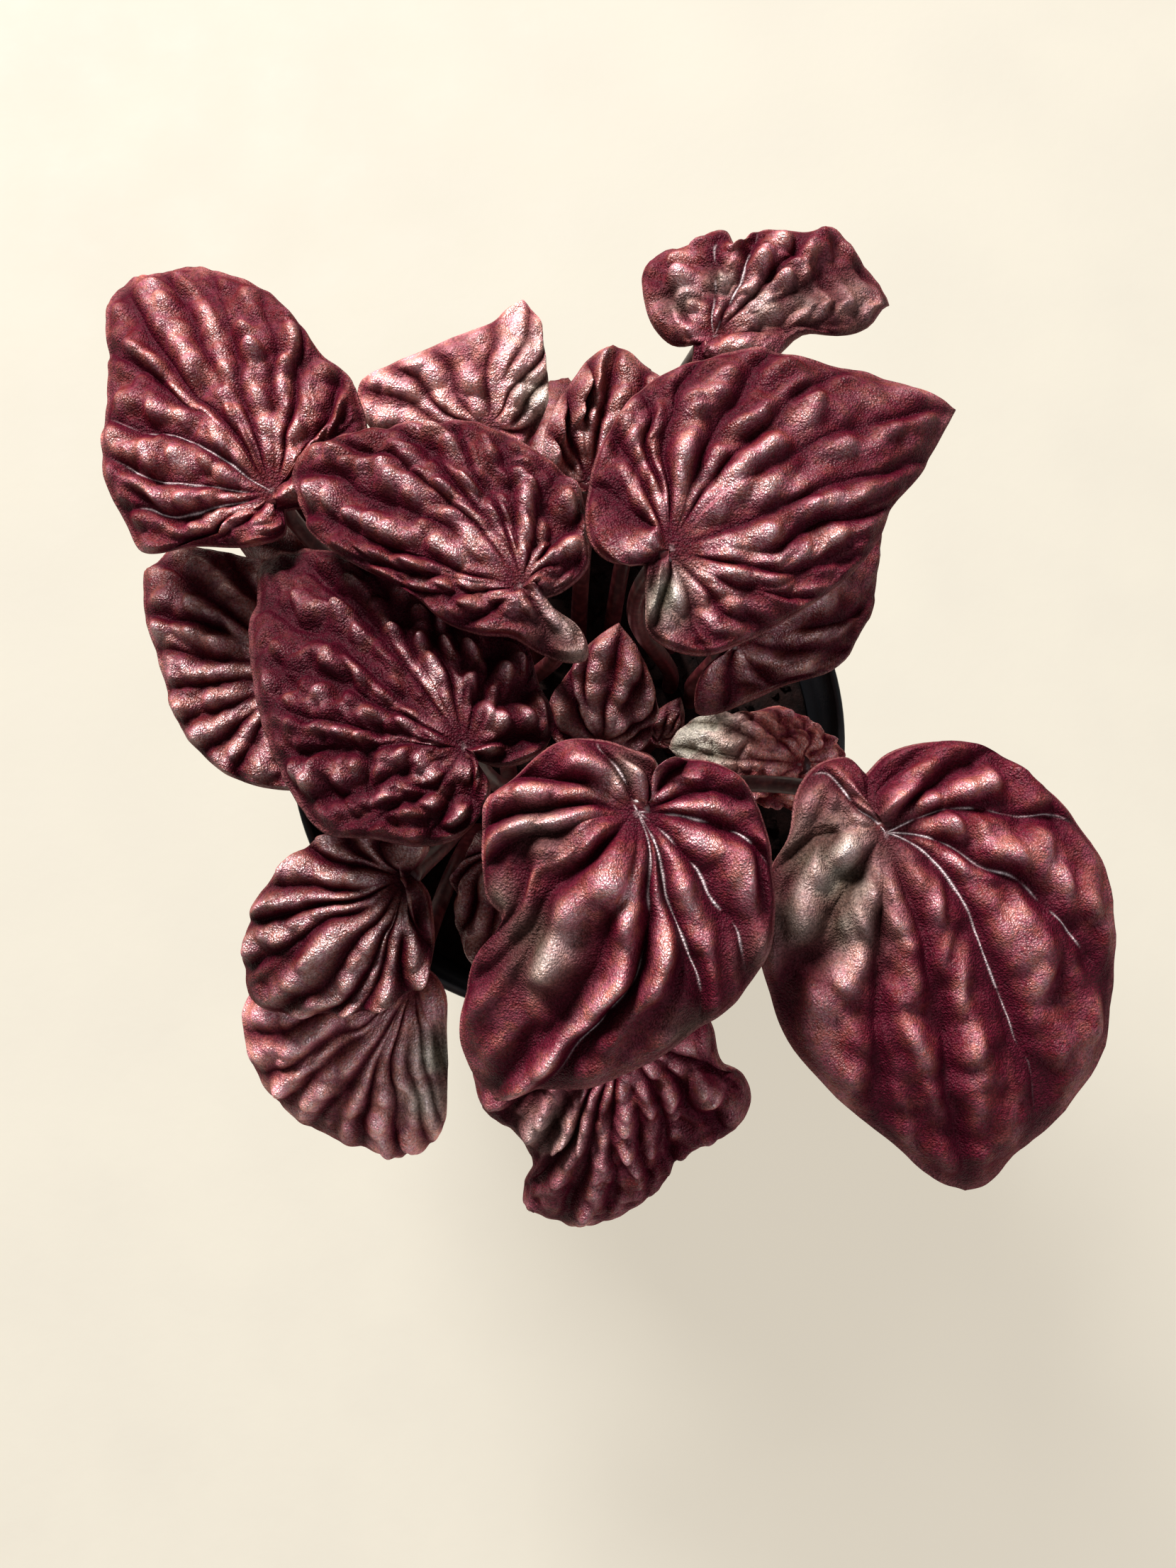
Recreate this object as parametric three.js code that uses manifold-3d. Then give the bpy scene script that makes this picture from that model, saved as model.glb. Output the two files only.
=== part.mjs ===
// Potted red luna peperomia: a crinkled, wine-red Peperomia caperata in a plastic nursery pot.
// Millimetres and degrees, +Z up. The origin is the middle of the pot's underside.

import * as THREE from 'three';
import { mergeVertices } from 'three/addons/utils/BufferGeometryUtils.js';
import Module from 'manifold-3d';

const wasm = await Module();
wasm.setup();

// Pot and soil
const CLEARANCE = 0.3;
const POT = {
  height: 93, rimRadius: 52.5, footRadius: 38, wall: 1.2, floor: 1.6,
  bandWall: 1.5, bandStep: 2, bandHeight: 10, bandSlope: 1, lipRound: 0.5, footRound: 1.5, segments: 36,
};
const DRAIN = { count: 6, radius: 3.6, ring: 28, segments: 10 };
const SOIL = {
  top: 78, edgeDrop: 1.5, mound: 2.5, roughness: 1.1, smoothEdge: 1, rings: 5, segments: 24, seed: 5,
};

// Blades: ridgeRise is a ridge's height for each millimetre of its width, up to ridgeLimit. From marginBand
// outwards the ridges sink. With ringSpacing under 1 the rings of corners crowd towards the margin.
const BLADE = {
  thickness: 1.0, ridgeRise: 0.36, ridgeLimit: 2.6, ridgeRoundness: 0.7, pinchSpacing: 7.5,
  pinchDepth: 0.45, marginBand: 0.86, marginFade: 0.55, leastHalfWidth: 0.3, ringSpacing: 0.85,
};
const SLOPE_STEP = 0.05;
const STALK = { radius: 1.5, sides: 6, steps: 6, rootDepth: 9, holeRadius: 2.05, collar: 1, lean: 0.25 };

// Looks
const LEAF_LOOK = { color: 0x6b2a34, roughness: 0.4 };
const POT_LOOK = { color: 0x14161a, roughness: 0.25 };
const SOIL_LOOK = { color: 0x2a1d17, roughness: 0.95 };

const WELD_DISTANCE = 1e-4;

// What a leaf has unless its own row says otherwise. base is where the stalk meets the blade and tip
// its point. left and right are points that the margin passes from the tip round to the notch: how far
// towards the tip, and how far out from the midline. Each of ribs is a rib's place on the margin, as
// explained above marginPoint, and the point that the rib passes halfway.
const PLAIN_LEAF = {
  notch: 2, bow: 0.1, roll: 0, arch: 4, cup: -3, twist: 0, wave: 0.8, waves: 5, ridges: 5,
  rays: 2, rings: 4, rise: 0.45, arrive: 0.35,
};

// The lowest leaves hang round the pot's lip, under the others.
const LOW_SIDE = [[35, 5], [28, 10], [18, 13], [8, 14], [-1, 12], [-6, 7], [-5, 2]];
const LOW_LEAF = { rings: 3, left: LOW_SIDE, right: LOW_SIDE };

const LEAVES = [
  { name: 'leaf_front', root: [4, -9], base: [11, -21, 170], tip: [-10, -63, 152],
    notch: 5, arch: 5, wave: 1.2, waves: 3, rays: 3, rings: 5,
    left: [[45, 5], [40, 12], [34, 17], [27, 21], [19, 25], [10, 26], [4, 24], [-1, 21], [-6, 17],
      [-10, 11], [-10, 5], [-8, 1]],
    right: [[48, 5], [43, 9], [37, 11], [31, 12], [26, 11], [22, 11], [21, 14], [14, 18], [8, 20], [3, 18],
      [-3, 15], [-6, 10], [-7, 5], [-7, 1]],
    ribs: [[-0.86, -3, -5], [-0.68, 1, -11], [-0.58, 5, -11], [-0.5, 9, -11], [-0.24, 17, -6],
      [-0.02, 21, 4], [0.08, 17, 9], [0.38, 10, 12], [0.49, 5, 14], [0.69, -3, 11],
      [0.8, -6, 7], [0.93, -5, 2]] },
  { name: 'leaf_upper_right', root: [20, 12], base: [16, 18, 168], tip: [61, 43, 156],
    notch: 4, rays: 3, rings: 5,
    left: [[49, 5], [45, 10], [35, 16], [27, 22], [16, 25], [8, 24], [-1, 19], [-7, 12], [-9, 7], [-8, 3]],
    right: [[49, 2], [41, 7], [33, 10], [29, 13], [22, 16], [13, 17], [5, 17], [-2, 16], [-6, 13], [-8, 9],
      [-6, 4]],
    ribs: [[-0.87, -4, -5], [-0.75, -2, -9], [-0.62, 2, -10], [-0.5, 7, -11], [-0.38, 12, -10],
      [-0.25, 16, -7], [-0.13, 18, -3], [0, 22, 4], [0.2, 18, 9], [0.35, 14, 12], [0.47, 9, 15],
      [0.6, 5, 14], [0.69, 1, 13], [0.8, -2, 8]] },
  { name: 'leaf_centre_left', root: [-8, 10], base: [-6, 13, 165], tip: [-44, 35, 151],
    notch: 3, arch: 5, rays: 3, rings: 5,
    left: [[42, 3], [36, 7], [25, 9], [12, 9], [7, 10], [2, 9], [-2, 7], [-6, 7], [-10, 6], [-12, 4],
      [-10, 1]],
    right: [[45, 4], [39, 8], [31, 14], [21, 19], [11, 20], [4, 19], [0, 17], [-4, 12], [-6, 8], [-5, 3]],
    ribs: [[-0.86, -2, -6], [-0.76, 0, -9], [-0.66, 3, -10], [-0.53, 7, -10], [-0.38, 11, -10],
      [-0.26, 15, -9], [-0.12, 19, -7], [0, 19, -2], [0.12, 18, 4], [0.3, 12, 5], [0.42, 8, 6],
      [0.58, 3, 6], [0.78, -3, 3]] },
  { name: 'leaf_left', root: [-12, -2], base: [-15, -10, 156], tip: [-51, 25, 134],
    roll: 4, arch: 6, rays: 3, rings: 5,
    left: [[48, 5], [42, 10], [36, 14], [29, 18], [22, 21], [17, 23], [12, 24], [6, 24], [0, 19], [-5, 15],
      [-8, 10], [-8, 5], [-6, 1]],
    right: [[50, 3], [44, 7], [34, 12], [22, 15], [13, 18], [7, 19], [1, 16], [-5, 13], [-7, 10], [-7, 6],
      [-5, 2]],
    ribs: [[-0.85, -5, -8], [-0.7, 1, -11], [-0.56, 7, -11], [-0.44, 13, -11], [-0.33, 17, -10],
      [-0.22, 18, -6], [-0.09, 20, -3], [0.12, 18, 2], [0.25, 15, 5], [0.35, 11, 8], [0.46, 9, 9],
      [0.56, 5, 11], [0.68, 0, 10], [0.79, -4, 7], [0.89, -6, 3]] },
  { name: 'leaf_lower_right', root: [14, -13], base: [49, -23, 156], tip: [64, -79, 138],
    notch: 9, arch: 5, cup: -4, rise: 0.6, rays: 3, rings: 5,
    left: [[60, 4], [56, 9], [51, 17], [44, 25], [34, 29], [23, 31], [13, 32], [3, 28], [-4, 23], [-9, 17],
      [-11, 11], [-11, 4]],
    right: [[56, 5], [47, 11], [36, 18], [28, 22], [18, 23], [8, 22], [1, 18], [-3, 14], [-9, 11], [-12, 7],
      [-12, 2]],
    ribs: [[-0.88, -7, -4], [-0.7, -2, -9], [-0.5, 8, -10], [-0.19, 20, -7], [0, 26, 0], [0.13, 16, 9],
      [0.38, 10, 15], [0.63, 0, 16], [0.78, -7, 12]] },
  { name: 'leaf_upper_left', root: [-15, 9], base: [-47, 33, 145], tip: [-75, 76, 130],
    notch: 3, arch: 5, rays: 3, rings: 5,
    left: [[52, 4], [46, 8], [36, 12], [26, 18], [18, 22], [10, 23], [5, 23], [0, 15], [-5, 7], [-6, 2]],
    right: [[50, 5], [44, 11], [37, 15], [32, 18], [25, 19], [17, 19], [12, 21], [6, 20], [1, 18], [-3, 13],
      [-5, 6]],
    ribs: [[-0.72, 2, -9], [-0.6, 5, -12], [-0.45, 11, -12], [-0.33, 15, -10], [-0.2, 18, -5],
      [-0.07, 24, -3], [0.03, 19, 1], [0.22, 20, 4], [0.38, 14, 8], [0.46, 9, 11], [0.58, 4, 11],
      [0.72, 0, 9], [0.83, -2, 6]] },
  { name: 'leaf_lower_left', root: [-16, -10], base: [-25, -29, 142], tip: [-53, -48, 128],
    notch: 1, roll: -6,
    left: [[35, 4], [29, 9], [21, 13], [15, 15], [9, 15], [4, 12], [1, 8], [-1, 4]],
    right: [[34, 4], [31, 7], [27, 10], [19, 13], [12, 14], [4, 12], [-2, 7], [-5, 2]],
    ribs: [[-0.84, 0, -5], [-0.68, 3, -7], [-0.53, 6, -8], [-0.38, 9, -5], [-0.24, 13, -4],
      [-0.08, 15, -1], [0.12, 15, 4], [0.27, 12, 7], [0.42, 10, 8], [0.56, 7, 9], [0.73, 3, 8]] },
  { name: 'leaf_right_silvery', root: [20, 0], base: [41, -8, 117], tip: [18, -5, 117],
    notch: 6, roll: -8, arch: 3,
    left: [[19, 3], [13, 6], [5, 8], [-4, 7], [-8, 4]],
    right: [[22, 3], [19, 6], [16, 7], [10, 8], [4, 10], [-1, 8], [-8, 4], [-9, 1]] },
  { name: 'leaf_top_twisted', root: [8, 18], base: [24, 57, 150], tip: [53, 64, 145],
    notch: 3, arch: 3, twist: 2, wave: 1.2, waves: 7, rings: 5,
    left: [[30, 4], [28, 8], [26, 11], [23, 14], [20, 14], [15, 16], [11, 16], [7, 14], [6, 17], [2, 18],
      [-3, 18], [-7, 15], [-8, 11], [-8, 5], [-6, 1]],
    right: [[28, 1], [26, 3], [20, 4], [14, 3], [10, 5], [5, 7], [0, 7], [-4, 5]],
    ribs: [[-0.6, 4, -3], [-0.28, 11, -2], [-0.08, 14, 0], [0.08, 15, 3], [0.2, 12, 6], [0.3, 10, 7],
      [0.41, 6, 8], [0.53, 2, 8], [0.66, -2, 8], [0.8, -4, 6]] },
  { name: 'leaf_top_left', root: [-6, 17], base: [-13, 46, 138], tip: [-7, 69, 138],
    arch: 3,
    left: [[21, 2], [17, 4], [12, 10], [9, 14], [6, 19], [3, 23], [0, 23], [-4, 20], [-7, 13], [-5, 5]],
    right: [[22, 2], [19, 5], [15, 6], [11, 8], [6, 9], [2, 8], [-2, 5]],
    ribs: [[-0.6, 2, -6], [-0.42, 4, -5], [-0.24, 8, -4], [-0.08, 10, -2], [0.12, 8, 1], [0.3, 4, 6],
      [0.42, 2, 9], [0.53, 0, 10], [0.66, -3, 9]] },
  { name: 'leaf_top_folded', root: [2, 19], base: [4, 35, 145], tip: [8, 58, 145],
    notch: 1, arch: 2, cup: 3,
    left: [[21, 2], [17, 4], [12, 6], [7, 7], [1, 7], [-2, 5]],
    right: [[22, 3], [20, 5], [17, 9], [10, 11], [3, 9], [-1, 5]] },
  { name: 'leaf_left_behind', root: [-18, 0], base: [-45, 8, 126], tip: [-74, 26, 120],
    notch: 3, arch: 3, rise: 0.65,
    left: [[32, 3], [28, 7], [23, 11], [17, 17], [12, 20], [5, 22], [-1, 22], [-8, 19], [-12, 15], [-11, 8],
      [-7, 2]],
    right: [[34, 2], [32, 6], [23, 10], [13, 13], [3, 12], [-2, 7]],
    ribs: [[-0.5, 8, -7], [-0.3, 13, -6], [-0.05, 18, -2], [0.12, 15, 2], [0.21, 11, 5], [0.3, 8, 8],
      [0.38, 6, 12], [0.47, 3, 14], [0.58, 0, 15], [0.74, -3, 12]] },
  { name: 'leaf_upper_right_under', root: [24, 9], base: [28, 10, 140], tip: [55, 33, 125],
    notch: 3,
    left: [[32, 4], [22, 7], [11, 9], [3, 10], [-2, 8], [-4, 3]],
    right: [[31, 5], [25, 10], [17, 13], [11, 14], [2, 11], [-4, 9], [-9, 7], [-11, 5], [-8, 1]] },
  { name: 'leaf_front_under', root: [2, -18], base: [9, -53, 135], tip: [4, -87, 109],
    notch: 3, wave: 1.6, waves: 4,
    left: [[39, 6], [33, 11], [25, 13], [20, 17], [16, 21], [10, 23], [6, 21], [4, 17], [-1, 15], [-6, 11],
      [-7, 4]],
    right: [[45, 6], [43, 11], [37, 12], [29, 11], [23, 15], [21, 19], [16, 22], [9, 23], [0, 20], [-5, 11],
      [-5, 4]],
    ribs: [[-0.75, 3, -11], [-0.6, 6, -11], [-0.45, 10, -10], [-0.33, 14, -7], [-0.2, 16, -4],
      [-0.07, 18, -1], [0.04, 19, 2], [0.16, 18, 6], [0.3, 14, 9], [0.46, 9, 12], [0.62, 3, 12],
      [0.78, -1, 9]] },
  { name: 'leaf_lower_left_under', root: [-17, -17], base: [-25, -46, 126], tip: [-29, -77, 106],
    left: [[34, 4], [27, 7], [16, 7], [7, 6], [1, 5], [-2, 2]],
    right: [[35, 4], [35, 11], [32, 18], [26, 23], [18, 27], [10, 29], [4, 26], [-1, 18], [-3, 8]],
    ribs: [[-0.62, 5, -15], [-0.52, 7, -14], [-0.42, 11, -13], [-0.32, 12, -11], [-0.22, 14, -7],
      [-0.1, 15, -5], [0.02, 15, -2], [0.14, 15, 1], [0.3, 13, 3], [0.5, 8, 4]] },
  { name: 'leaf_centre_young', root: [6, -2], base: [6, -4, 116], tip: [9, 15, 126],
    notch: 1, arch: 1, rings: 3,
    left: [[18, 4], [13, 7], [6, 9], [0, 8], [-2, 4]],
    right: [[18, 4], [13, 7], [7, 9], [1, 8], [-2, 4]] },
  { name: 'leaf_bud', root: [13, -3], base: [17, -2, 104], tip: [20, 4, 110],
    notch: 1, arch: 0, cup: 0, wave: 0, rings: 2, ridges: 4,
    left: [[6, 2], [3, 3], [0, 2]],
    right: [[6, 2], [3, 3], [0, 2]] },
  { name: 'leaf_lower_left_inner', root: [-6, -13], base: [-8, -21, 120], tip: [-15, -46, 110],
    notch: 1, arch: 3, rings: 3,
    left: [[24, 3], [18, 7], [9, 8], [1, 7], [-3, 4]],
    right: [[24, 3], [18, 7], [9, 8], [1, 7], [-3, 4]] },
  { ...LOW_LEAF, name: 'leaf_low_right', root: [22, -9], base: [44, -34, 122], tip: [72, -58, 100] },
  { ...LOW_LEAF, name: 'leaf_low_front', root: [8, -22], base: [4, -44, 112], tip: [2, -74, 88] },
  { ...LOW_LEAF, name: 'leaf_low_left', root: [-25, -7], base: [-38, 0, 104], tip: [-66, 12, 88] },
  { ...LOW_LEAF, name: 'leaf_low_upper_left', root: [-21, 12], base: [-36, 27, 118], tip: [-62, 50, 98] },
  { ...LOW_LEAF, name: 'leaf_low_back', root: [-6, 25], base: [-8, 42, 114], tip: [-6, 68, 92] },
  { ...LOW_LEAF, name: 'leaf_low_upper_right', root: [20, 20], base: [28, 34, 122], tip: [52, 54, 104] },
];

// Blade coordinates: p runs from the stalk towards the tip, q to the left. a goes round the margin, from 0
// at the tip to 1 at the notch along the left side and to -1 along the right side.
function marginPoint(leaf, a) {
  const side = a < 0 ? leaf.rightSide : leaf.leftSide;
  const point = side.getPointAt(Math.abs(a));
  return [point.x, point.y];
}

// A rib bows off the straight line from the stalk to its place on the margin: offset is from the middle of
// that line to the rib's halfway point.
function measuredRibs(leaf) {
  return leaf.ribs.map(([a, p, q]) => {
    const margin = marginPoint(leaf, a);
    return { a, offset: [p - margin[0] / 2, q - margin[1] / 2] };
  });
}

function evenRibs(leaf) {
  const ribs = [];
  for (let i = 1 - leaf.ridges; i < leaf.ridges; i += 1) {
    const a = i / leaf.ridges;
    const margin = marginPoint(leaf, a);
    const bow = leaf.bow * Math.sin(Math.PI * a);
    ribs.push({ a, offset: [-margin[1] * bow, margin[0] * bow] });
  }
  return ribs;
}

// Which ridge a lies on, counted from the notch round the right side, and its share of the way across.
function ridgeAt(leaf, a) {
  const last = leaf.ribLines.length - 2;
  const ridge = Math.min(leaf.ribLines.findLastIndex((rib) => rib.a <= a), last);
  const start = leaf.ribLines[ridge].a;
  return [ridge, (a - start) / (leaf.ribLines[ridge + 1].a - start)];
}

// A point on the way from the stalk to the margin at a, following the ribs.
function ribPoint(leaf, a, reach) {
  const margin = marginPoint(leaf, a);
  const [ridge, across] = ridgeAt(leaf, a);
  const before = leaf.ribLines[ridge].offset;
  const after = leaf.ribLines[ridge + 1].offset;
  return [0, 1].map((i) => {
    const control = margin[i] / 2 + 2 * (before[i] * (1 - across) + after[i] * across);
    return 2 * reach * (1 - reach) * control + reach * reach * margin[i];
  });
}

// The number of the draw that sets how far out a ridge's first pinch is; no pinch has this number.
const FIRST_PINCH = 99;

// A repeatable draw from 0 to 1 for whole numbers i and j.
function draw(seed, i, j) {
  const value = Math.sin(seed * 74.7 + i * 127.1 + j * 311.7) * 43758.5453;
  return value - Math.floor(value);
}

function smoothStep(from, to, x) {
  const t = Math.min(Math.max((x - from) / (to - from), 0), 1);
  return t * t * (3 - 2 * t);
}

// How far the blade's skin stands above its mean sheet: rounded ridges between sunken ribs, pinched
// crosswise at uneven steps.
function ridgeHeight(leaf, a, reach) {
  const [ridge, across] = ridgeAt(leaf, a);
  const [start, end] = [0, 1].map((side) => marginPoint(leaf, leaf.ribLines[ridge + side].a));
  const width = reach * Math.hypot(end[0] - start[0], end[1] - start[1]);
  const radius = reach * Math.hypot(...marginPoint(leaf, a));
  const step = radius / BLADE.pinchSpacing + draw(leaf.seed, ridge, FIRST_PINCH);
  const knot = Math.floor(step);
  const blend = smoothStep(0, 1, step - knot);
  const pinch = draw(leaf.seed, ridge, knot) * (1 - blend) + draw(leaf.seed, ridge, knot + 1) * blend;
  const full = Math.min(width * BLADE.ridgeRise, BLADE.ridgeLimit) * (1 - BLADE.pinchDepth * pinch);
  const fade = 1 - BLADE.marginFade * smoothStep(BLADE.marginBand, 1, reach);
  return full * fade * Math.sin(Math.PI * across) ** BLADE.ridgeRoundness;
}

// The mean sheet of the blade in space.
function sheetPoint(leaf, a, p, q) {
  const along = p / leaf.length;
  const across = q / (q > 0 ? leaf.halfLeft : leaf.halfRight);
  const reach = Math.min(Math.hypot(along, across), 1);
  let lift = leaf.arch * 4 * along * (1 - along);
  lift += leaf.cup * across * across;
  lift += leaf.twist * along * across;
  lift += leaf.wave * reach ** 3 * Math.sin(Math.PI * leaf.waves * a + leaf.seed);
  return leaf.base.clone()
    .addScaledVector(leaf.forward, p)
    .addScaledVector(leaf.leftward, q)
    .addScaledVector(leaf.upward, lift);
}

function bladePoint(leaf, a, reach, layer) {
  const [p, q] = ribPoint(leaf, a, reach);
  const point = sheetPoint(leaf, a, p, q);
  const alongStep = sheetPoint(leaf, a, p + SLOPE_STEP, q).sub(point);
  const acrossStep = sheetPoint(leaf, a, p, q + SLOPE_STEP).sub(point);
  const normal = alongStep.cross(acrossStep).normalize();
  const height = ridgeHeight(leaf, a, reach) - layer * BLADE.thickness;
  return point.addScaledVector(normal, height);
}

// Places on the margin that the blade's rows of corners run to: every rib, and steps between them.
function rayPlaces(leaf) {
  const places = [];
  for (let ridge = 0; ridge < leaf.ribLines.length - 1; ridge += 1) {
    const start = leaf.ribLines[ridge].a;
    const span = leaf.ribLines[ridge + 1].a - start;
    for (let ray = 0; ray < leaf.rays; ray += 1) {
      places.push(start + span * ray / leaf.rays);
    }
  }
  return places;
}

// Upper and lower skins on the same triangles, joined by a narrow wall at the margin.
function bladeSolid(leaf) {
  const places = rayPlaces(leaf);
  const rays = places.length;
  const corners = [];
  const triangles = [];
  for (const layer of [0, 1]) {
    corners.push(bladePoint(leaf, 0, 0, layer));
    for (let ring = 1; ring <= leaf.rings; ring += 1) {
      const reach = (ring / leaf.rings) ** BLADE.ringSpacing;
      corners.push(...places.map((a) => bladePoint(leaf, a, reach, layer)));
    }
  }
  const skin = 1 + rays * leaf.rings;
  const corner = (ring, ray, layer) => layer * skin + 1 + (ring - 1) * rays + (ray % rays);
  for (let ray = 0; ray < rays; ray += 1) {
    const next = ray + 1;
    addBothSkins(triangles, skin, 0, corner(1, ray, 0), corner(1, next, 0));
    for (let ring = 1; ring < leaf.rings; ring += 1) {
      const inner = corner(ring, ray, 0);
      const outer = corner(ring + 1, next, 0);
      addBothSkins(triangles, skin, inner, corner(ring + 1, ray, 0), outer);
      addBothSkins(triangles, skin, inner, outer, corner(ring, next, 0));
    }
    const edge = leaf.rings;
    triangles.push(corner(edge, ray, 0), corner(edge, ray, 1), corner(edge, next, 1));
    triangles.push(corner(edge, ray, 0), corner(edge, next, 1), corner(edge, next, 0));
  }
  const positions = corners.flatMap((point) => point.toArray());
  return new wasm.Manifold(new wasm.Mesh({
    numProp: 3, vertProperties: new Float32Array(positions), triVerts: new Uint32Array(triangles),
  }));
}

function addBothSkins(triangles, skin, first, second, third) {
  triangles.push(first, second, third);
  triangles.push(first + skin, third + skin, second + skin);
}

// The same surface with one corner where several met.
function welded(geometry) {
  const bare = geometry.clone();
  bare.deleteAttribute('normal');
  bare.deleteAttribute('uv');
  return mergeVertices(bare, WELD_DISTANCE);
}

function solidOf(geometry) {
  const surface = welded(geometry);
  return new wasm.Manifold(new wasm.Mesh({
    numProp: 3,
    vertProperties: new Float32Array(surface.attributes.position.array),
    triVerts: new Uint32Array(surface.index.array),
  }));
}

function geometryOf(solid) {
  const mesh = solid.getMesh();
  const geometry = new THREE.BufferGeometry();
  geometry.setAttribute('position', new THREE.BufferAttribute(mesh.vertProperties, 3));
  geometry.setIndex(new THREE.BufferAttribute(mesh.triVerts, 1));
  geometry.computeVertexNormals();
  return geometry;
}

// The stalk stands straight in its hole, then bends over to meet the blade from below.
function stalkSolid(leaf) {
  const soilPoint = new THREE.Vector3(leaf.root[0], leaf.root[1], SOIL.top);
  const foot = soilPoint.clone().setZ(SOIL.top - STALK.rootDepth);
  const collar = soilPoint.clone().setZ(SOIL.top + SOIL.mound + STALK.collar);
  const end = leaf.base.clone().addScaledVector(leaf.upward, -BLADE.thickness / 2);
  const span = end.distanceTo(collar);
  const rise = collar.clone().setZ(collar.z + span * leaf.rise);
  const heading = leaf.upward.clone().addScaledVector(leaf.forward, STALK.lean).normalize();
  const arrive = end.clone().addScaledVector(heading, -span * leaf.arrive);
  const path = new THREE.CurvePath();
  path.add(new THREE.LineCurve3(foot, collar));
  path.add(new THREE.CubicBezierCurve3(collar, rise, arrive, end));
  const section = new THREE.Shape();
  for (let side = 0; side < STALK.sides; side += 1) {
    const angle = 2 * Math.PI * side / STALK.sides;
    const corner = [STALK.radius * Math.cos(angle), STALK.radius * Math.sin(angle)];
    if (side === 0) {
      section.moveTo(...corner);
    } else {
      section.lineTo(...corner);
    }
  }
  section.closePath();
  return solidOf(new THREE.ExtrudeGeometry(section, { steps: STALK.steps, extrudePath: path }));
}

// A smooth line through one side of the margin, from the tip to the notch.
function marginSide(leaf, points, sign) {
  const line = [[leaf.length, 0], ...points, [-leaf.notch, 0]];
  return new THREE.CatmullRomCurve3(line.map(([p, q]) => new THREE.Vector3(p, q * sign, 0)));
}

function halfWidth(leaf, points) {
  return Math.max(leaf.length * BLADE.leastHalfWidth, ...points.map(([, q]) => q));
}

function placedLeaf(row, index) {
  const leaf = { ...PLAIN_LEAF, ...row, seed: index + 1 };
  leaf.base = new THREE.Vector3(...row.base);
  const reach = new THREE.Vector3(...row.tip).sub(leaf.base);
  leaf.length = reach.length();
  leaf.forward = reach.normalize();
  const roll = THREE.MathUtils.degToRad(leaf.roll);
  const level = new THREE.Vector3(0, 0, 1).cross(leaf.forward).normalize();
  const above = leaf.forward.clone().cross(level);
  leaf.leftward = level.clone().multiplyScalar(Math.cos(roll)).addScaledVector(above, Math.sin(roll));
  leaf.upward = leaf.forward.clone().cross(leaf.leftward);
  leaf.leftSide = marginSide(leaf, row.left, 1);
  leaf.rightSide = marginSide(leaf, row.right, -1);
  leaf.halfLeft = halfWidth(leaf, row.left);
  leaf.halfRight = halfWidth(leaf, row.right);
  const notch = { offset: [0, 0] };
  const ribs = leaf.ribs ? measuredRibs(leaf) : evenRibs(leaf);
  leaf.ribLines = [{ a: -1, ...notch }, ...ribs, { a: 1, ...notch }];
  return leaf;
}

function namedMesh(name, geometry, look) {
  const mesh = new THREE.Mesh(geometry, new THREE.MeshStandardMaterial(look));
  mesh.name = name;
  return mesh;
}

function leafMesh(leaf) {
  const solid = bladeSolid(leaf).add(stalkSolid(leaf));
  return namedMesh(leaf.name, geometryOf(solid), LEAF_LOOK);
}

function turned(profile, segments) {
  const points = profile.map(([radius, height]) => new THREE.Vector2(radius, height));
  return new THREE.LatheGeometry(points, segments).rotateX(Math.PI / 2);
}

function potMesh() {
  const shoulder = POT.rimRadius - POT.bandStep;
  const bandBottom = POT.height - POT.bandHeight;
  const bandInside = POT.rimRadius - POT.bandWall;
  const profile = [
    [0, 0],
    [POT.footRadius - POT.footRound, 0],
    [POT.footRadius, POT.footRound],
    [shoulder, bandBottom - POT.bandSlope],
    [POT.rimRadius, bandBottom],
    [POT.rimRadius, POT.height - POT.lipRound],
    [POT.rimRadius - POT.lipRound, POT.height],
    [bandInside + POT.lipRound, POT.height],
    [bandInside, POT.height - POT.lipRound],
    [bandInside, bandBottom + POT.bandWall],
    [shoulder - POT.wall, bandBottom],
    [POT.footRadius - POT.wall, POT.floor],
    [0, POT.floor],
  ];
  let pot = solidOf(turned(profile, POT.segments));
  for (let i = 0; i < DRAIN.count; i += 1) {
    const angle = 2 * Math.PI * (i + 0.5) / DRAIN.count;
    const drill = new THREE.CylinderGeometry(DRAIN.radius, DRAIN.radius, POT.floor * 4, DRAIN.segments);
    drill.rotateX(Math.PI / 2);
    drill.translate(DRAIN.ring * Math.cos(angle), DRAIN.ring * Math.sin(angle), 0);
    pot = pot.subtract(solidOf(drill));
  }
  return namedMesh('pot', geometryOf(pot), POT_LOOK);
}

function potInnerRadius(height) {
  const bandBottom = POT.height - POT.bandHeight;
  const top = POT.rimRadius - POT.bandStep - POT.wall;
  const foot = POT.footRadius - POT.wall;
  return foot + (top - foot) * (height - POT.floor) / (bandBottom - POT.floor);
}

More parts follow.
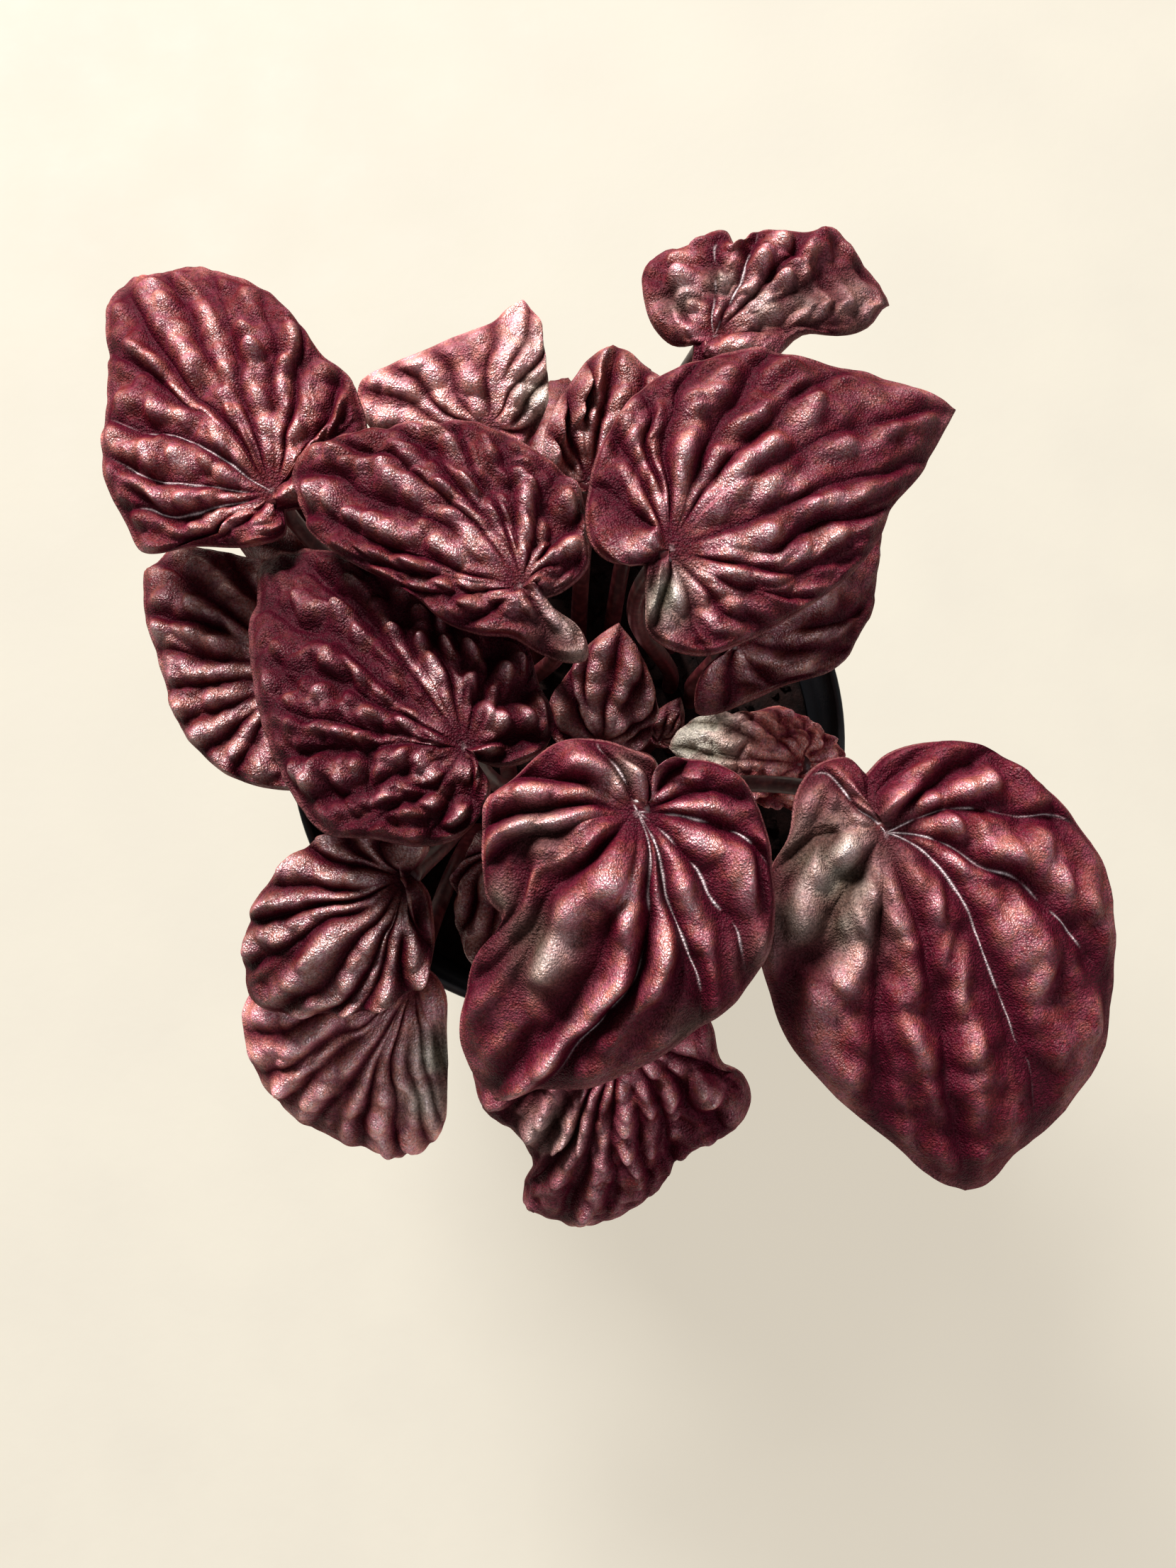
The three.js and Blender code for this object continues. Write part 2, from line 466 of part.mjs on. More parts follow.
function soilMesh(leaves) {
  const bottom = POT.floor + CLEARANCE;
  const facet = Math.cos(Math.PI / POT.segments);
  const edge = potInnerRadius(SOIL.top - SOIL.edgeDrop) * facet - CLEARANCE;
  const profile = [[0, bottom], [potInnerRadius(bottom) * facet - CLEARANCE, bottom]];
  for (let ring = SOIL.rings; ring >= 0; ring -= 1) {
    const share = ring / SOIL.rings;
    const rise = (SOIL.mound + SOIL.edgeDrop) * (1 - share * share);
    profile.push([edge * share, SOIL.top - SOIL.edgeDrop + rise]);
  }
  const plug = welded(turned(profile, SOIL.segments));
  roughenTop(plug.attributes.position, edge);
  let soil = solidOf(plug);
  for (const leaf of leaves) {
    const depth = STALK.rootDepth + CLEARANCE;
    const hole = new THREE.CylinderGeometry(STALK.holeRadius, STALK.holeRadius, depth * 2, STALK.sides);
    hole.rotateX(Math.PI / 2);
    hole.translate(leaf.root[0], leaf.root[1], SOIL.top);
    soil = soil.subtract(solidOf(hole));
  }
  return namedMesh('soil', geometryOf(soil), SOIL_LOOK);
}

// Loose crumbs raise and lower the surface inside the edge.
function roughenTop(position, edge) {
  for (let i = 0; i < position.count; i += 1) {
    const radius = Math.hypot(position.getX(i), position.getY(i));
    if (position.getZ(i) > SOIL.top - SOIL.edgeDrop && radius < edge - SOIL.smoothEdge) {
      const crumb = draw(SOIL.seed, Math.round(position.getX(i)), Math.round(position.getY(i))) - 0.5;
      position.setZ(i, position.getZ(i) + crumb * SOIL.roughness);
    }
  }
}

const leaves = LEAVES.map(placedLeaf);
const plant = new THREE.Group();
plant.add(potMesh());
plant.add(soilMesh(leaves));
for (const leaf of leaves) {
  plant.add(leafMesh(leaf));
}

export default plant;
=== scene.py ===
"""Looks of the potted red luna peperomia: fine puckered leaves, stalks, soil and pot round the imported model.

Rows and vertices are in millimetres, and new_piece turns them into metres.
"""
import math

import bmesh
import bpy
import numpy as np
from mathutils import Matrix, Vector


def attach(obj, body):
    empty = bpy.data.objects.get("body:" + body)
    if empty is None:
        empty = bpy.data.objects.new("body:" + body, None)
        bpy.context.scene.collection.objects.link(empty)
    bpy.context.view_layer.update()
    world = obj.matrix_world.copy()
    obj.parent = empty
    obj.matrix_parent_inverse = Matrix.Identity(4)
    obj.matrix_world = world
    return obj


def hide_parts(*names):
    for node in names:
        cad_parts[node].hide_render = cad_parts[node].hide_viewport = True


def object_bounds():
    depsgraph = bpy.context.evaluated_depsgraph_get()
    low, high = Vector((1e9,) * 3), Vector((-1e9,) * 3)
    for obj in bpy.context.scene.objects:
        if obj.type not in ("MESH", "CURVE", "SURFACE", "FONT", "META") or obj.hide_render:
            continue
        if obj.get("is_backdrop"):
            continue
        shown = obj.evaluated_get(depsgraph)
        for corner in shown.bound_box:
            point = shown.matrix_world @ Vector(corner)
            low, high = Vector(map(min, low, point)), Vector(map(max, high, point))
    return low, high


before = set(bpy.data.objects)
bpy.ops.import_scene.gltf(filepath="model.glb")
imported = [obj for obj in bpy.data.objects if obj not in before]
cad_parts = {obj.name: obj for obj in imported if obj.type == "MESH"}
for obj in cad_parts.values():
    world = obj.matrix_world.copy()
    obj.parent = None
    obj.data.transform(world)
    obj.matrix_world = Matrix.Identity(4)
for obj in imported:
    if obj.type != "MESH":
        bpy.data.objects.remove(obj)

CAD_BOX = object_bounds()
MM = 0.001

# Pot and soil. The grains' size, stretch and squareness are drawn from ranges.
POT_HEIGHT = 93
RIM_RADIUS = 52.5
FOOT_RADIUS = 38
POT_WALL = 1.2
POT_FLOOR = 1.6
POT_ROUNDING = 1.1
BAND_WALL = 1.5
BAND_STEP = 2
BAND_HEIGHT = 10
BAND_SLOPE = 1
POT_SEGMENTS = 144
SHARP_ANGLE = 50
DRAIN_COUNT = 6
DRAIN_RADIUS = 3.6
DRAIN_RING = 28
DRAIN_SEGMENTS = 32
SOIL_TOP = 78
SOIL_EDGE_DROP = 1.5
SOIL_MOUND = 2.5
SOIL_INSET = 0.2
SOIL_SINK = 0.4
SOIL_SEGMENTS = 180
SOIL_RINGS = 70
CLEARANCE = 0.3
GRAIN_COUNT = 420
GRAIN_SIZE = (0.5, 1.6)
GRAIN_STRETCH = (0.6, 1.2)
GRAIN_SQUARENESS = (0.7, 1.1)
GRAIN_TURN = (0, 6.28)
GRAIN_WOBBLE = 0.25
GRAIN_RISE = 0.15
GRAIN_FREE_EDGE = 2
GRAIN_SEED = 3

# Stalks. The last three are shares of the radius.
STALK_RADIUS = 1.45
STALK_SIDES = 18
STALK_STEPS = 44
ROOT_DEPTH = 9
COLLAR = 1
STALK_LEAN = 0.25
STALK_FOOT = 1.08
STALK_TAPER = 0.14
STALK_FLARE = 0.3

# Blades. A reach is 0 at the stalk and 1 at the margin. Rings crowd towards the margin with a spacing
# under 1. The underside has one ring for each UNDER_STEP rings of the top.
BLADE_THICKNESS = 0.9
BLADE_THINNING = 0.25
BLADE_OVERHANG = 0.3
LEAST_HALF_WIDTH = 0.3
MARGIN_STEPS = 24
MARGIN_SAMPLES = 400
RING_SPACING = 0.9
COLUMN_CROWDING = 0.12
UNDER_STEP = 3
TINY = 1e-9

# Ridges. RIDGE_RISE is a ridge's height for each millimetre of its width, up to RIDGE_LIMIT.
RIDGE_RISE = 0.68
RIDGE_LIMIT = 4.0
RIDGE_SHARPNESS = 1.3
MARGIN_BAND = 0.88
MARGIN_FADE = 0.7
DROOP_BAND = 0.9
MARGIN_DROOP = 0.9
HUB_REACH = 0.27
SLOPE_SHARE = 0.3
LEAST_SLOPE = 0.3
NEAR = 6.0

# Ribs, which wind, wander and begin somewhere in a range of reaches
WINDING = 1.3
WINDING_STEP = 7
WINDING_FULL = (0.4, 0.7)
RIB_JITTER = (-0.2, 0.2)
RIB_START = (0.18, 0.4)
RIB_EASE = (-0.05, 0.15)
RIB_DEPTH = (0.75, 1)
RIB_WANDER = 0.6
WANDER_BENDS = 3.5
WANDER_APART = 5.3
DEEPEST = 0.85

# Forks split ridges wider than FORK_WIDTH, and cross ribs pinch all ridges. Slant, bow and step are shares
# of the gap between two cross ribs.
FORK_WIDTH = 9
FORK_START = (0.34, 0.64)
FORK_SHARE = (0.4, 0.6)
FORK_EASE = 0.2
FORK_SLOPE = 3.0
CROSS_BAND = (0.16, 0.94)
CROSS_SLANT = (-0.325, 0.975)
CROSS_BOW = 0.3
CROSS_DEPTH = (0.25, 0.75)
CROSS_STEP = (0.6, 1.4)
SLOPES_PER_GAP = 2.4

# Lumps on the ridges, and layers of noise as (height, distance between features)
LUMP_JITTER = (0.1, 0.9)
LUMP_FALL = 1.7
LUMP_HEIGHT = 2.0
LUMP_LEVEL = 0.45
LUMP_WIDTH = 4
CREASE_DEPTH = 0.7
GRIT = (0.3, 1.6)
SWELL = (0.9, 10)
RIDGE_UNEVENNESS = (0.5, 5)
CLODS = (0.7, 5)
CLOTS = (0.5, 2.2)
CRUMBS = (0.3, 0.9)

# Pale ribs, each a pale vein with a painted glint
PALE_HALF_WIDTH = 0.11
PALE_UNEVENNESS = (0.05, 2)
PALE_SHARE = 0.6
PALE_BREAKS = (1.1, 2.5)
PALE_RISE = 0.25
PALE_FADE = (0.7, 0.95)

# What the masks are where the stalk meets the blade. The low crest there is painted shade round the hub.
HUB = dict(crest=0.2, rib=0.2, edge=0.0, silver=0.1)

# Leaf colours, each pair from deep to bright or from plain to silvery. The bright ends of PURPLE and BROWN go
# on the ridge tops as a painted highlight.
PURPLE = (0.14, 0.009, 0.024), (0.47, 0.14, 0.185)
BROWN = (0.16, 0.016, 0.012), (0.51, 0.175, 0.14)
# The first valley colour is the leaf's own deep red with painted shade in the creases.
VALLEY = (0.04, 0.0024, 0.008), (0.05, 0.04, 0.028)
# The silvery colour: partly the skin's own pale grey, partly a painted sheen.
SILVER_SHEEN = (0.44, 0.41, 0.35)
# The pale rib colour: a pale vein with a painted glint.
PALE_RIB_AND_GLINT = (0.6, 0.5, 0.52)
EDGE = (0.34, 0.13, 0.13)
SHEEN_TINT = (1, 0.85, 0.86)

# What a leaf has unless its own row says otherwise. The solids have the same shapes, but fewer ridges in
# leaf_right_silvery and more ribs in leaf_top_twisted.
# base is where the stalk meets the blade and tip is the blade's point. left and right are points of the
# margin from the tip round to the notch: how far towards the tip, and how far out from the midline.
# arch, cup, twist and wave bend the sheet, and roll turns it, in degrees. rise and arrive bend the stalk.
# Each of ribs is a rib's place on the margin, as margin_point explains, and the point that it passes
# halfway. A leaf without them has as many even ridges on each side as ridges says, bent by bow.
# relief raises the ridges. pucker raises the lumps, lump_step apart, and deepens the cross ribs, cross_gap
# apart. columns counts the mesh's columns in each ridge, and rings its rings.
# pale holds the ribs that show as pale lines, each partly a pale vein and partly a painted glint. silver holds
# silvery patches, partly the skin's own colour and partly a painted sheen: place, size and strength. warmth
# turns purple to brown, tone brightens the blade, partly as its own colour and partly as painted light, and
# contrast widens the dark valleys, partly painted shade.
PLAIN_LEAF = dict(
    notch=2, bow=0.1, roll=0, arch=4, cup=-3, twist=0, wave=0.8, waves=5, ridges=5, ribs=(),
    rise=0.45, arrive=0.35, columns=26, rings=60, relief=1.0, pucker=0.6, lump_step=3.8, cross_gap=5,
    pale=(), silver=(), warmth=0.5, tone=1.0, contrast=1.1,
)
LOW_SIDE = [(35, 5), (28, 10), (18, 13), (8, 14), (-1, 12), (-6, 7), (-5, 2)]
LOW_LEAF = dict(left=LOW_SIDE, right=LOW_SIDE, columns=14, rings=30, tone=0.9)
LEAVES = [
    dict(name="leaf_front", root=(4, -9), base=(11, -21, 170), tip=(-10, -63, 152),
         notch=5, arch=5, wave=1.2, waves=3, relief=1.5, pucker=0.5, lump_step=6, cross_gap=8,
         warmth=0.35, tone=1.4, contrast=1.9, pale=(-0.86, 0.08, 0.38, 0.49, 0.69),
         silver=[(23, -4, 5, 0.7), (8, -11, 4, 0.4), (-4, -4, 3, 0.5), (19, -12, 2.5, 0.6),
                 (11, 25, 3.5, 0.4), (25, 21, 3.5, 0.5)],
         left=[(45, 5), (40, 12), (34, 17), (27, 21), (19, 25), (10, 26), (4, 24), (-1, 21), (-6, 17),
               (-10, 11), (-10, 5), (-8, 1)],
         right=[(48, 5), (43, 9), (37, 11), (31, 12), (26, 11), (22, 11), (21, 14), (14, 18), (8, 20),
               (3, 18), (-3, 15), (-6, 10), (-7, 5), (-7, 1)],
         ribs=[(-0.86, -3, -5), (-0.68, 1, -11), (-0.58, 5, -11), (-0.5, 9, -11), (-0.24, 17, -6),
               (-0.02, 21, 4), (0.08, 17, 9), (0.38, 10, 12), (0.49, 5, 14), (0.69, -3, 11),
               (0.8, -6, 7), (0.93, -5, 2)]),
    dict(name="leaf_upper_right", root=(20, 12), base=(16, 18, 168), tip=(61, 43, 156),
         notch=4, pucker=0.8, lump_step=4.8, warmth=0.4, tone=1.1, contrast=1.3,
         silver=[(-4, -6, 3.5, 1.2)],
         left=[(49, 5), (45, 10), (35, 16), (27, 22), (16, 25), (8, 24), (-1, 19), (-7, 12), (-9, 7),
               (-8, 3)],
         right=[(49, 2), (41, 7), (33, 10), (29, 13), (22, 16), (13, 17), (5, 17), (-2, 16), (-6, 13),
               (-8, 9), (-6, 4)],
         ribs=[(-0.87, -4, -5), (-0.75, -2, -9), (-0.62, 2, -10), (-0.5, 7, -11), (-0.38, 12, -10),
               (-0.25, 16, -7), (-0.13, 18, -3), (0, 22, 4), (0.2, 18, 9), (0.35, 14, 12), (0.47, 9, 15),
               (0.6, 5, 14), (0.69, 1, 13), (0.8, -2, 8)]),
    dict(name="leaf_centre_left", root=(-8, 10), base=(-6, 13, 165), tip=(-44, 35, 151),
         notch=3, arch=5, relief=1.05, pucker=1.25, cross_gap=4, warmth=0.45,
         silver=[(-7, 1, 4, 0.5), (-11, 5, 3, 0.6)],
         left=[(42, 3), (36, 7), (25, 9), (12, 9), (7, 10), (2, 9), (-2, 7), (-6, 7), (-10, 6), (-12, 4),
               (-10, 1)],
         right=[(45, 4), (39, 8), (31, 14), (21, 19), (11, 20), (4, 19), (0, 17), (-4, 12), (-6, 8),
                (-5, 3)],
         ribs=[(-0.86, -2, -6), (-0.76, 0, -9), (-0.66, 3, -10), (-0.53, 7, -10), (-0.38, 11, -10),
               (-0.26, 15, -9), (-0.12, 19, -7), (0, 19, -2), (0.12, 18, 4), (0.3, 12, 5), (0.42, 8, 6),
               (0.58, 3, 6), (0.78, -3, 3)]),
    dict(name="leaf_left", root=(-12, -2), base=(-15, -10, 156), tip=(-51, 25, 134),
         roll=4, arch=6, relief=1.05, pucker=1.6, cross_gap=4, warmth=0.25, tone=0.9, contrast=1.5,
         left=[(48, 5), (42, 10), (36, 14), (29, 18), (22, 21), (17, 23), (12, 24), (6, 24), (0, 19),
               (-5, 15), (-8, 10), (-8, 5), (-6, 1)],
         right=[(50, 3), (44, 7), (34, 12), (22, 15), (13, 18), (7, 19), (1, 16), (-5, 13), (-7, 10),
               (-7, 6), (-5, 2)],
         ribs=[(-0.85, -5, -8), (-0.7, 1, -11), (-0.56, 7, -11), (-0.44, 13, -11), (-0.33, 17, -10),
               (-0.22, 18, -6), (-0.09, 20, -3), (0.12, 18, 2), (0.25, 15, 5), (0.35, 11, 8),
               (0.46, 9, 9), (0.56, 5, 11), (0.68, 0, 10), (0.79, -4, 7), (0.89, -6, 3)]),
    dict(name="leaf_lower_right", root=(14, -13), base=(49, -23, 156), tip=(64, -79, 138),
         notch=9, arch=5, cup=-4, rise=0.6, relief=1.15, pucker=0.9, lump_step=5.2, cross_gap=7,
         warmth=0.45, tone=1.45, contrast=1.55, pale=(-0.88, 0.13, 0.38, 0.63),
         silver=[(3, -10, 8, 0.95), (11, -10, 6, 0.8), (9, -16, 6, 0.6), (-5, -9, 5, 0.3)],
         left=[(60, 4), (56, 9), (51, 17), (44, 25), (34, 29), (23, 31), (13, 32), (3, 28), (-4, 23),
               (-9, 17), (-11, 11), (-11, 4)],
         right=[(56, 5), (47, 11), (36, 18), (28, 22), (18, 23), (8, 22), (1, 18), (-3, 14), (-9, 11),
               (-12, 7), (-12, 2)],
         ribs=[(-0.88, -7, -4), (-0.7, -2, -9), (-0.5, 8, -10), (-0.19, 20, -7), (0, 26, 0),
               (0.13, 16, 9), (0.38, 10, 15), (0.63, 0, 16), (0.78, -7, 12)]),
    dict(name="leaf_upper_left", root=(-15, 9), base=(-47, 33, 145), tip=(-75, 76, 130),
         notch=3, arch=5, pucker=0.9, cross_gap=4.5, warmth=0.6, tone=1.3, contrast=1.2,
         pale=(0.38, 0.46, 0.58),
         left=[(52, 4), (46, 8), (36, 12), (26, 18), (18, 22), (10, 23), (5, 23), (0, 15), (-5, 7),
               (-6, 2)],
         right=[(50, 5), (44, 11), (37, 15), (32, 18), (25, 19), (17, 19), (12, 21), (6, 20), (1, 18),
               (-3, 13), (-5, 6)],
         ribs=[(-0.72, 2, -9), (-0.6, 5, -12), (-0.45, 11, -12), (-0.33, 15, -10), (-0.2, 18, -5),
               (-0.07, 24, -3), (0.03, 19, 1), (0.22, 20, 4), (0.38, 14, 8), (0.46, 9, 11), (0.58, 4, 11),
               (0.72, 0, 9), (0.83, -2, 6)]),
    dict(name="leaf_lower_left", root=(-16, -10), base=(-25, -29, 142), tip=(-53, -48, 128),
         notch=1, roll=-6, pucker=0.4, warmth=0.6, tone=0.9, contrast=1.3,
         left=[(35, 4), (29, 9), (21, 13), (15, 15), (9, 15), (4, 12), (1, 8), (-1, 4)],
         right=[(34, 4), (31, 7), (27, 10), (19, 13), (12, 14), (4, 12), (-2, 7), (-5, 2)],
         ribs=[(-0.84, 0, -5), (-0.68, 3, -7), (-0.53, 6, -8), (-0.38, 9, -5), (-0.24, 13, -4),
               (-0.08, 15, -1), (0.12, 15, 4), (0.27, 12, 7), (0.42, 10, 8), (0.56, 7, 9), (0.73, 3, 8)]),
    dict(name="leaf_right_silvery", root=(20, 0), base=(41, -8, 117), tip=(18, -5, 117),
         notch=6, roll=-8, arch=3, ridges=7, relief=0.35, pucker=1.2, lump_step=2.2, cross_gap=2.5,
         warmth=0.8, tone=2.4, contrast=0.8, columns=16, rings=44, silver=[(19, -3, 7, 1.6)],
         left=[(19, 3), (13, 6), (5, 8), (-4, 7), (-8, 4)],
         right=[(22, 3), (19, 6), (16, 7), (10, 8), (4, 10), (-1, 8), (-8, 4), (-9, 1)]),
    dict(name="leaf_top_twisted", root=(8, 18), base=(24, 57, 150), tip=(53, 64, 145),
         notch=3, arch=3, twist=2, wave=1.2, waves=7, relief=0.8, pucker=1.3, cross_gap=4,
         tone=1.3, pale=(0.41, 0.53),
         silver=[(8, 3, 4, 0.45), (15, 2, 5, 0.35), (23, 1, 5, 0.35), (-3, 7, 2.5, 0.7), (3, 8, 2.2, 0.7)],
         left=[(30, 4), (28, 8), (26, 11), (23, 14), (20, 14), (15, 16), (11, 16), (7, 14), (6, 17),
               (2, 18), (-3, 18), (-7, 15), (-8, 11), (-8, 5), (-6, 1)],
         right=[(28, 1), (26, 3), (20, 4), (14, 3), (10, 5), (5, 7), (0, 7), (-4, 5)],
         ribs=[(-0.28, 11, -2), (0.12, 14, 4), (0.3, 10, 7), (0.41, 6, 8), (0.53, 2, 8), (0.75, -4, 7)]),
    dict(name="leaf_top_left", root=(-6, 17), base=(-13, 46, 138), tip=(-7, 69, 138),
         arch=3, relief=0.42, pucker=0.4, tone=1.9, contrast=1.0,
         silver=[(7, -7, 4, 0.9), (15, -3, 5, 0.3), (6, 6, 18, 0.1)],
         left=[(21, 2), (17, 4), (12, 10), (9, 14), (6, 19), (3, 23), (0, 23), (-4, 20), (-7, 13),
               (-5, 5)],
         right=[(22, 2), (19, 5), (15, 6), (11, 8), (6, 9), (2, 8), (-2, 5)],
         ribs=[(-0.6, 2, -6), (-0.42, 4, -5), (-0.24, 8, -4), (-0.08, 10, -2), (0.12, 8, 1), (0.3, 4, 6),
               (0.42, 2, 9), (0.53, 0, 10), (0.66, -3, 9)]),
    dict(name="leaf_top_folded", root=(2, 19), base=(4, 35, 145), tip=(8, 58, 145),
         notch=1, arch=2, cup=3, columns=18, rings=44, warmth=0.8, tone=1.1,
         left=[(21, 2), (17, 4), (12, 6), (7, 7), (1, 7), (-2, 5)],
         right=[(22, 3), (20, 5), (17, 9), (10, 11), (3, 9), (-1, 5)]),
    dict(name="leaf_left_behind", root=(-18, 0), base=(-45, 8, 126), tip=(-74, 26, 120),
         notch=3, arch=3, rise=0.65,
         left=[(32, 3), (28, 7), (23, 11), (17, 17), (12, 20), (5, 22), (-1, 22), (-8, 19), (-12, 15),
               (-11, 8), (-7, 2)],
         right=[(34, 2), (32, 6), (23, 10), (13, 13), (3, 12), (-2, 7)],
         ribs=[(-0.5, 8, -7), (-0.3, 13, -6), (-0.05, 18, -2), (0.12, 15, 2), (0.21, 11, 5), (0.3, 8, 8),
               (0.38, 6, 12), (0.47, 3, 14), (0.58, 0, 15), (0.74, -3, 12)]),
    dict(name="leaf_upper_right_under", root=(24, 9), base=(28, 10, 140), tip=(55, 33, 125),
         notch=3, columns=18, rings=44,
         left=[(32, 4), (22, 7), (11, 9), (3, 10), (-2, 8), (-4, 3)],
         right=[(31, 5), (25, 10), (17, 13), (11, 14), (2, 11), (-4, 9), (-9, 7), (-11, 5), (-8, 1)]),
    dict(name="leaf_front_under", root=(2, -18), base=(9, -53, 135), tip=(4, -87, 109),
         notch=3, wave=1.6, waves=4, relief=1.1, pucker=1.1, cross_gap=4, warmth=0.1, tone=1.5,
         contrast=1.2, silver=[(19, -9, 6, 0.5)],
         left=[(39, 6), (33, 11), (25, 13), (20, 17), (16, 21), (10, 23), (6, 21), (4, 17), (-1, 15),
               (-6, 11), (-7, 4)],
         right=[(45, 6), (43, 11), (37, 12), (29, 11), (23, 15), (21, 19), (16, 22), (9, 23), (0, 20),
               (-5, 11), (-5, 4)],
         ribs=[(-0.75, 3, -11), (-0.6, 6, -11), (-0.45, 10, -10), (-0.33, 14, -7), (-0.2, 16, -4),
               (-0.07, 18, -1), (0.04, 19, 2), (0.16, 18, 6), (0.3, 14, 9), (0.46, 9, 12), (0.62, 3, 12),
               (0.78, -1, 9)]),
    dict(name="leaf_lower_left_under", root=(-17, -17), base=(-25, -46, 126), tip=(-29, -77, 106),
         relief=0.7, tone=1.8, contrast=1.0,
         silver=[(11, 5, 4.5, 1.2), (20, 4, 5, 0.8), (15, -10, 22, 0.08)],
         left=[(34, 4), (27, 7), (16, 7), (7, 6), (1, 5), (-2, 2)],
         right=[(35, 4), (35, 11), (32, 18), (26, 23), (18, 27), (10, 29), (4, 26), (-1, 18), (-3, 8)],
         ribs=[(-0.62, 5, -15), (-0.52, 7, -14), (-0.42, 11, -13), (-0.32, 12, -11), (-0.22, 14, -7),
               (-0.1, 15, -5), (0.02, 15, -2), (0.14, 15, 1), (0.3, 13, 3), (0.5, 8, 4)]),
    dict(name="leaf_centre_young", root=(6, -2), base=(6, -4, 116), tip=(9, 15, 126),
         notch=1, arch=1, columns=14, rings=30,
         left=[(18, 4), (13, 7), (6, 9), (0, 8), (-2, 4)],
         right=[(18, 4), (13, 7), (7, 9), (1, 8), (-2, 4)]),
    dict(name="leaf_bud", root=(13, -3), base=(17, -2, 104), tip=(20, 4, 110),
         notch=1, arch=0, cup=0, wave=0, ridges=4, columns=10, rings=14,
         left=[(6, 2), (3, 3), (0, 2)],
         right=[(6, 2), (3, 3), (0, 2)]),
    dict(name="leaf_lower_left_inner", root=(-6, -13), base=(-8, -21, 120), tip=(-15, -46, 110),
         notch=1, arch=3, columns=14, rings=30,
         left=[(24, 3), (18, 7), (9, 8), (1, 7), (-3, 4)],
         right=[(24, 3), (18, 7), (9, 8), (1, 7), (-3, 4)]),
    dict(LOW_LEAF, name="leaf_low_right", root=(22, -9), base=(44, -34, 122), tip=(72, -58, 100)),
    dict(LOW_LEAF, name="leaf_low_front", root=(8, -22), base=(4, -44, 112), tip=(2, -74, 88)),
    dict(LOW_LEAF, name="leaf_low_left", root=(-25, -7), base=(-38, 0, 104), tip=(-66, 12, 88)),
    dict(LOW_LEAF, name="leaf_low_upper_left", root=(-21, 12), base=(-36, 27, 118), tip=(-62, 50, 98)),
    dict(LOW_LEAF, name="leaf_low_back", root=(-6, 25), base=(-8, 42, 114), tip=(-6, 68, 92)),
    dict(LOW_LEAF, name="leaf_low_upper_right", root=(20, 20), base=(28, 34, 122), tip=(52, 54, 104)),
]

# Camera: nearly along the pot's axis, as in the photograph
CAMERA_LENS = 40
CAMERA_SENSOR = 36
CAMERA_DISTANCE = 328.1
CAMERA_TILT = 6
CAMERA_TARGET = (3.87, -8.86, 93)

# Lights: name, place and size in metres, power in watts and colour
LIGHTS = [
    ("key", (-0.5, 0.98, 1.0), 0.5, 46, (1, 0.97, 0.93)),
    ("fill", (0.7, -0.5, 0.8), 0.9, 3.5, (0.95, 0.96, 1)),
]
LIGHT_TARGET = (0, 0, 0.12)
WORLD_COLOUR = (1, 0.97, 0.93, 1)
WORLD_STRENGTH = 0.13
FLOOR_HALF = 900


def unit(vector):
    return vector / np.linalg.norm(vector)


def draw(seed, i, j):
    """A repeatable draw from 0 to 1 for whole numbers i and j: the far digits of a large sine."""
    value = np.sin(seed * 74.7 + i * 127.1 + j * 311.7) * 43758.5453
    return value - np.floor(value)


def drawn(span, seed, i, j):
    """A repeatable draw from the range of span. Each use has its own i or j, which keeps draws apart."""
    low, high = span
    return low + (high - low) * draw(seed, i, j)


def smooth_step(start, end, x):
    """0 up to start and 1 from end, with a smooth rise between them."""
    t = np.clip((x - start) / (end - start), 0, 1)
    return t * t * (3 - 2 * t)


def soft_noise(seed, x, y):
    """Smooth noise from -1 to 1 with features one unit across."""
    i, j = np.floor(x), np.floor(y)
    u, v = smooth_step(0, 1, x - i), smooth_step(0, 1, y - j)
    near = draw(seed, i, j) * (1 - u) + draw(seed, i + 1, j) * u
    far = draw(seed, i, j + 1) * (1 - u) + draw(seed, i + 1, j + 1) * u
    return 2 * (near * (1 - v) + far * v) - 1


def layer(size, seed, x, y):
    """Soft noise of the height and with the distance between features that size holds."""
    height, step = size
    return height * soft_noise(seed, x / step, y / step)


def cobbles(seed, x, y):
    """Rounded lumps about one unit apart: 1 at a lump's middle and 0 in the creases between them."""
    i, j = np.floor(x), np.floor(y)
    nearest = np.full(x.shape, np.inf)
    for column in (i - 1, i, i + 1):
        for row in (j - 1, j, j + 1):
            middle_x = column + drawn(LUMP_JITTER, seed, column, row)
            middle_y = row + drawn(LUMP_JITTER, seed + 0.5, column, row)
            nearest = np.minimum(nearest, (x - middle_x) ** 2 + (y - middle_y) ** 2)
    return 1 - np.minimum(LUMP_FALL * nearest, 1)


def smooth_line(points):
    """Points along a centripetal Catmull-Rom curve, evenly spaced."""
    points = np.array(points, float)
    padded = np.concatenate([[2 * points[0] - points[1]], points, [2 * points[-1] - points[-2]]])
    t = np.linspace(0, 1, MARGIN_STEPS, endpoint=False)[:, None]
    line = []
    for before, start, end, after in zip(padded, padded[1:], padded[2:], padded[3:]):
        steps = start - before, end - start, after - end
        lead, span, follow = [math.sqrt(np.linalg.norm(step)) for step in steps]
        leave = (start - before) / lead - (end - before) / (lead + span) + (end - start) / span
        arrive = (end - start) / span - (after - start) / (span + follow) + (after - end) / follow
        leave, arrive = leave * span, arrive * span
        square, cube = 3 * (end - start) - 2 * leave - arrive, 2 * (start - end) + leave + arrive
        line.append(start + leave * t + square * t ** 2 + cube * t ** 3)
    line = np.concatenate(line + [points[-1:]])
    length = np.concatenate([[0], np.cumsum(np.linalg.norm(np.diff(line, axis=0), axis=1))])
    even = np.linspace(0, length[-1], MARGIN_SAMPLES)
    return np.stack([np.interp(even, length, line[:, 0]), np.interp(even, length, line[:, 1])])


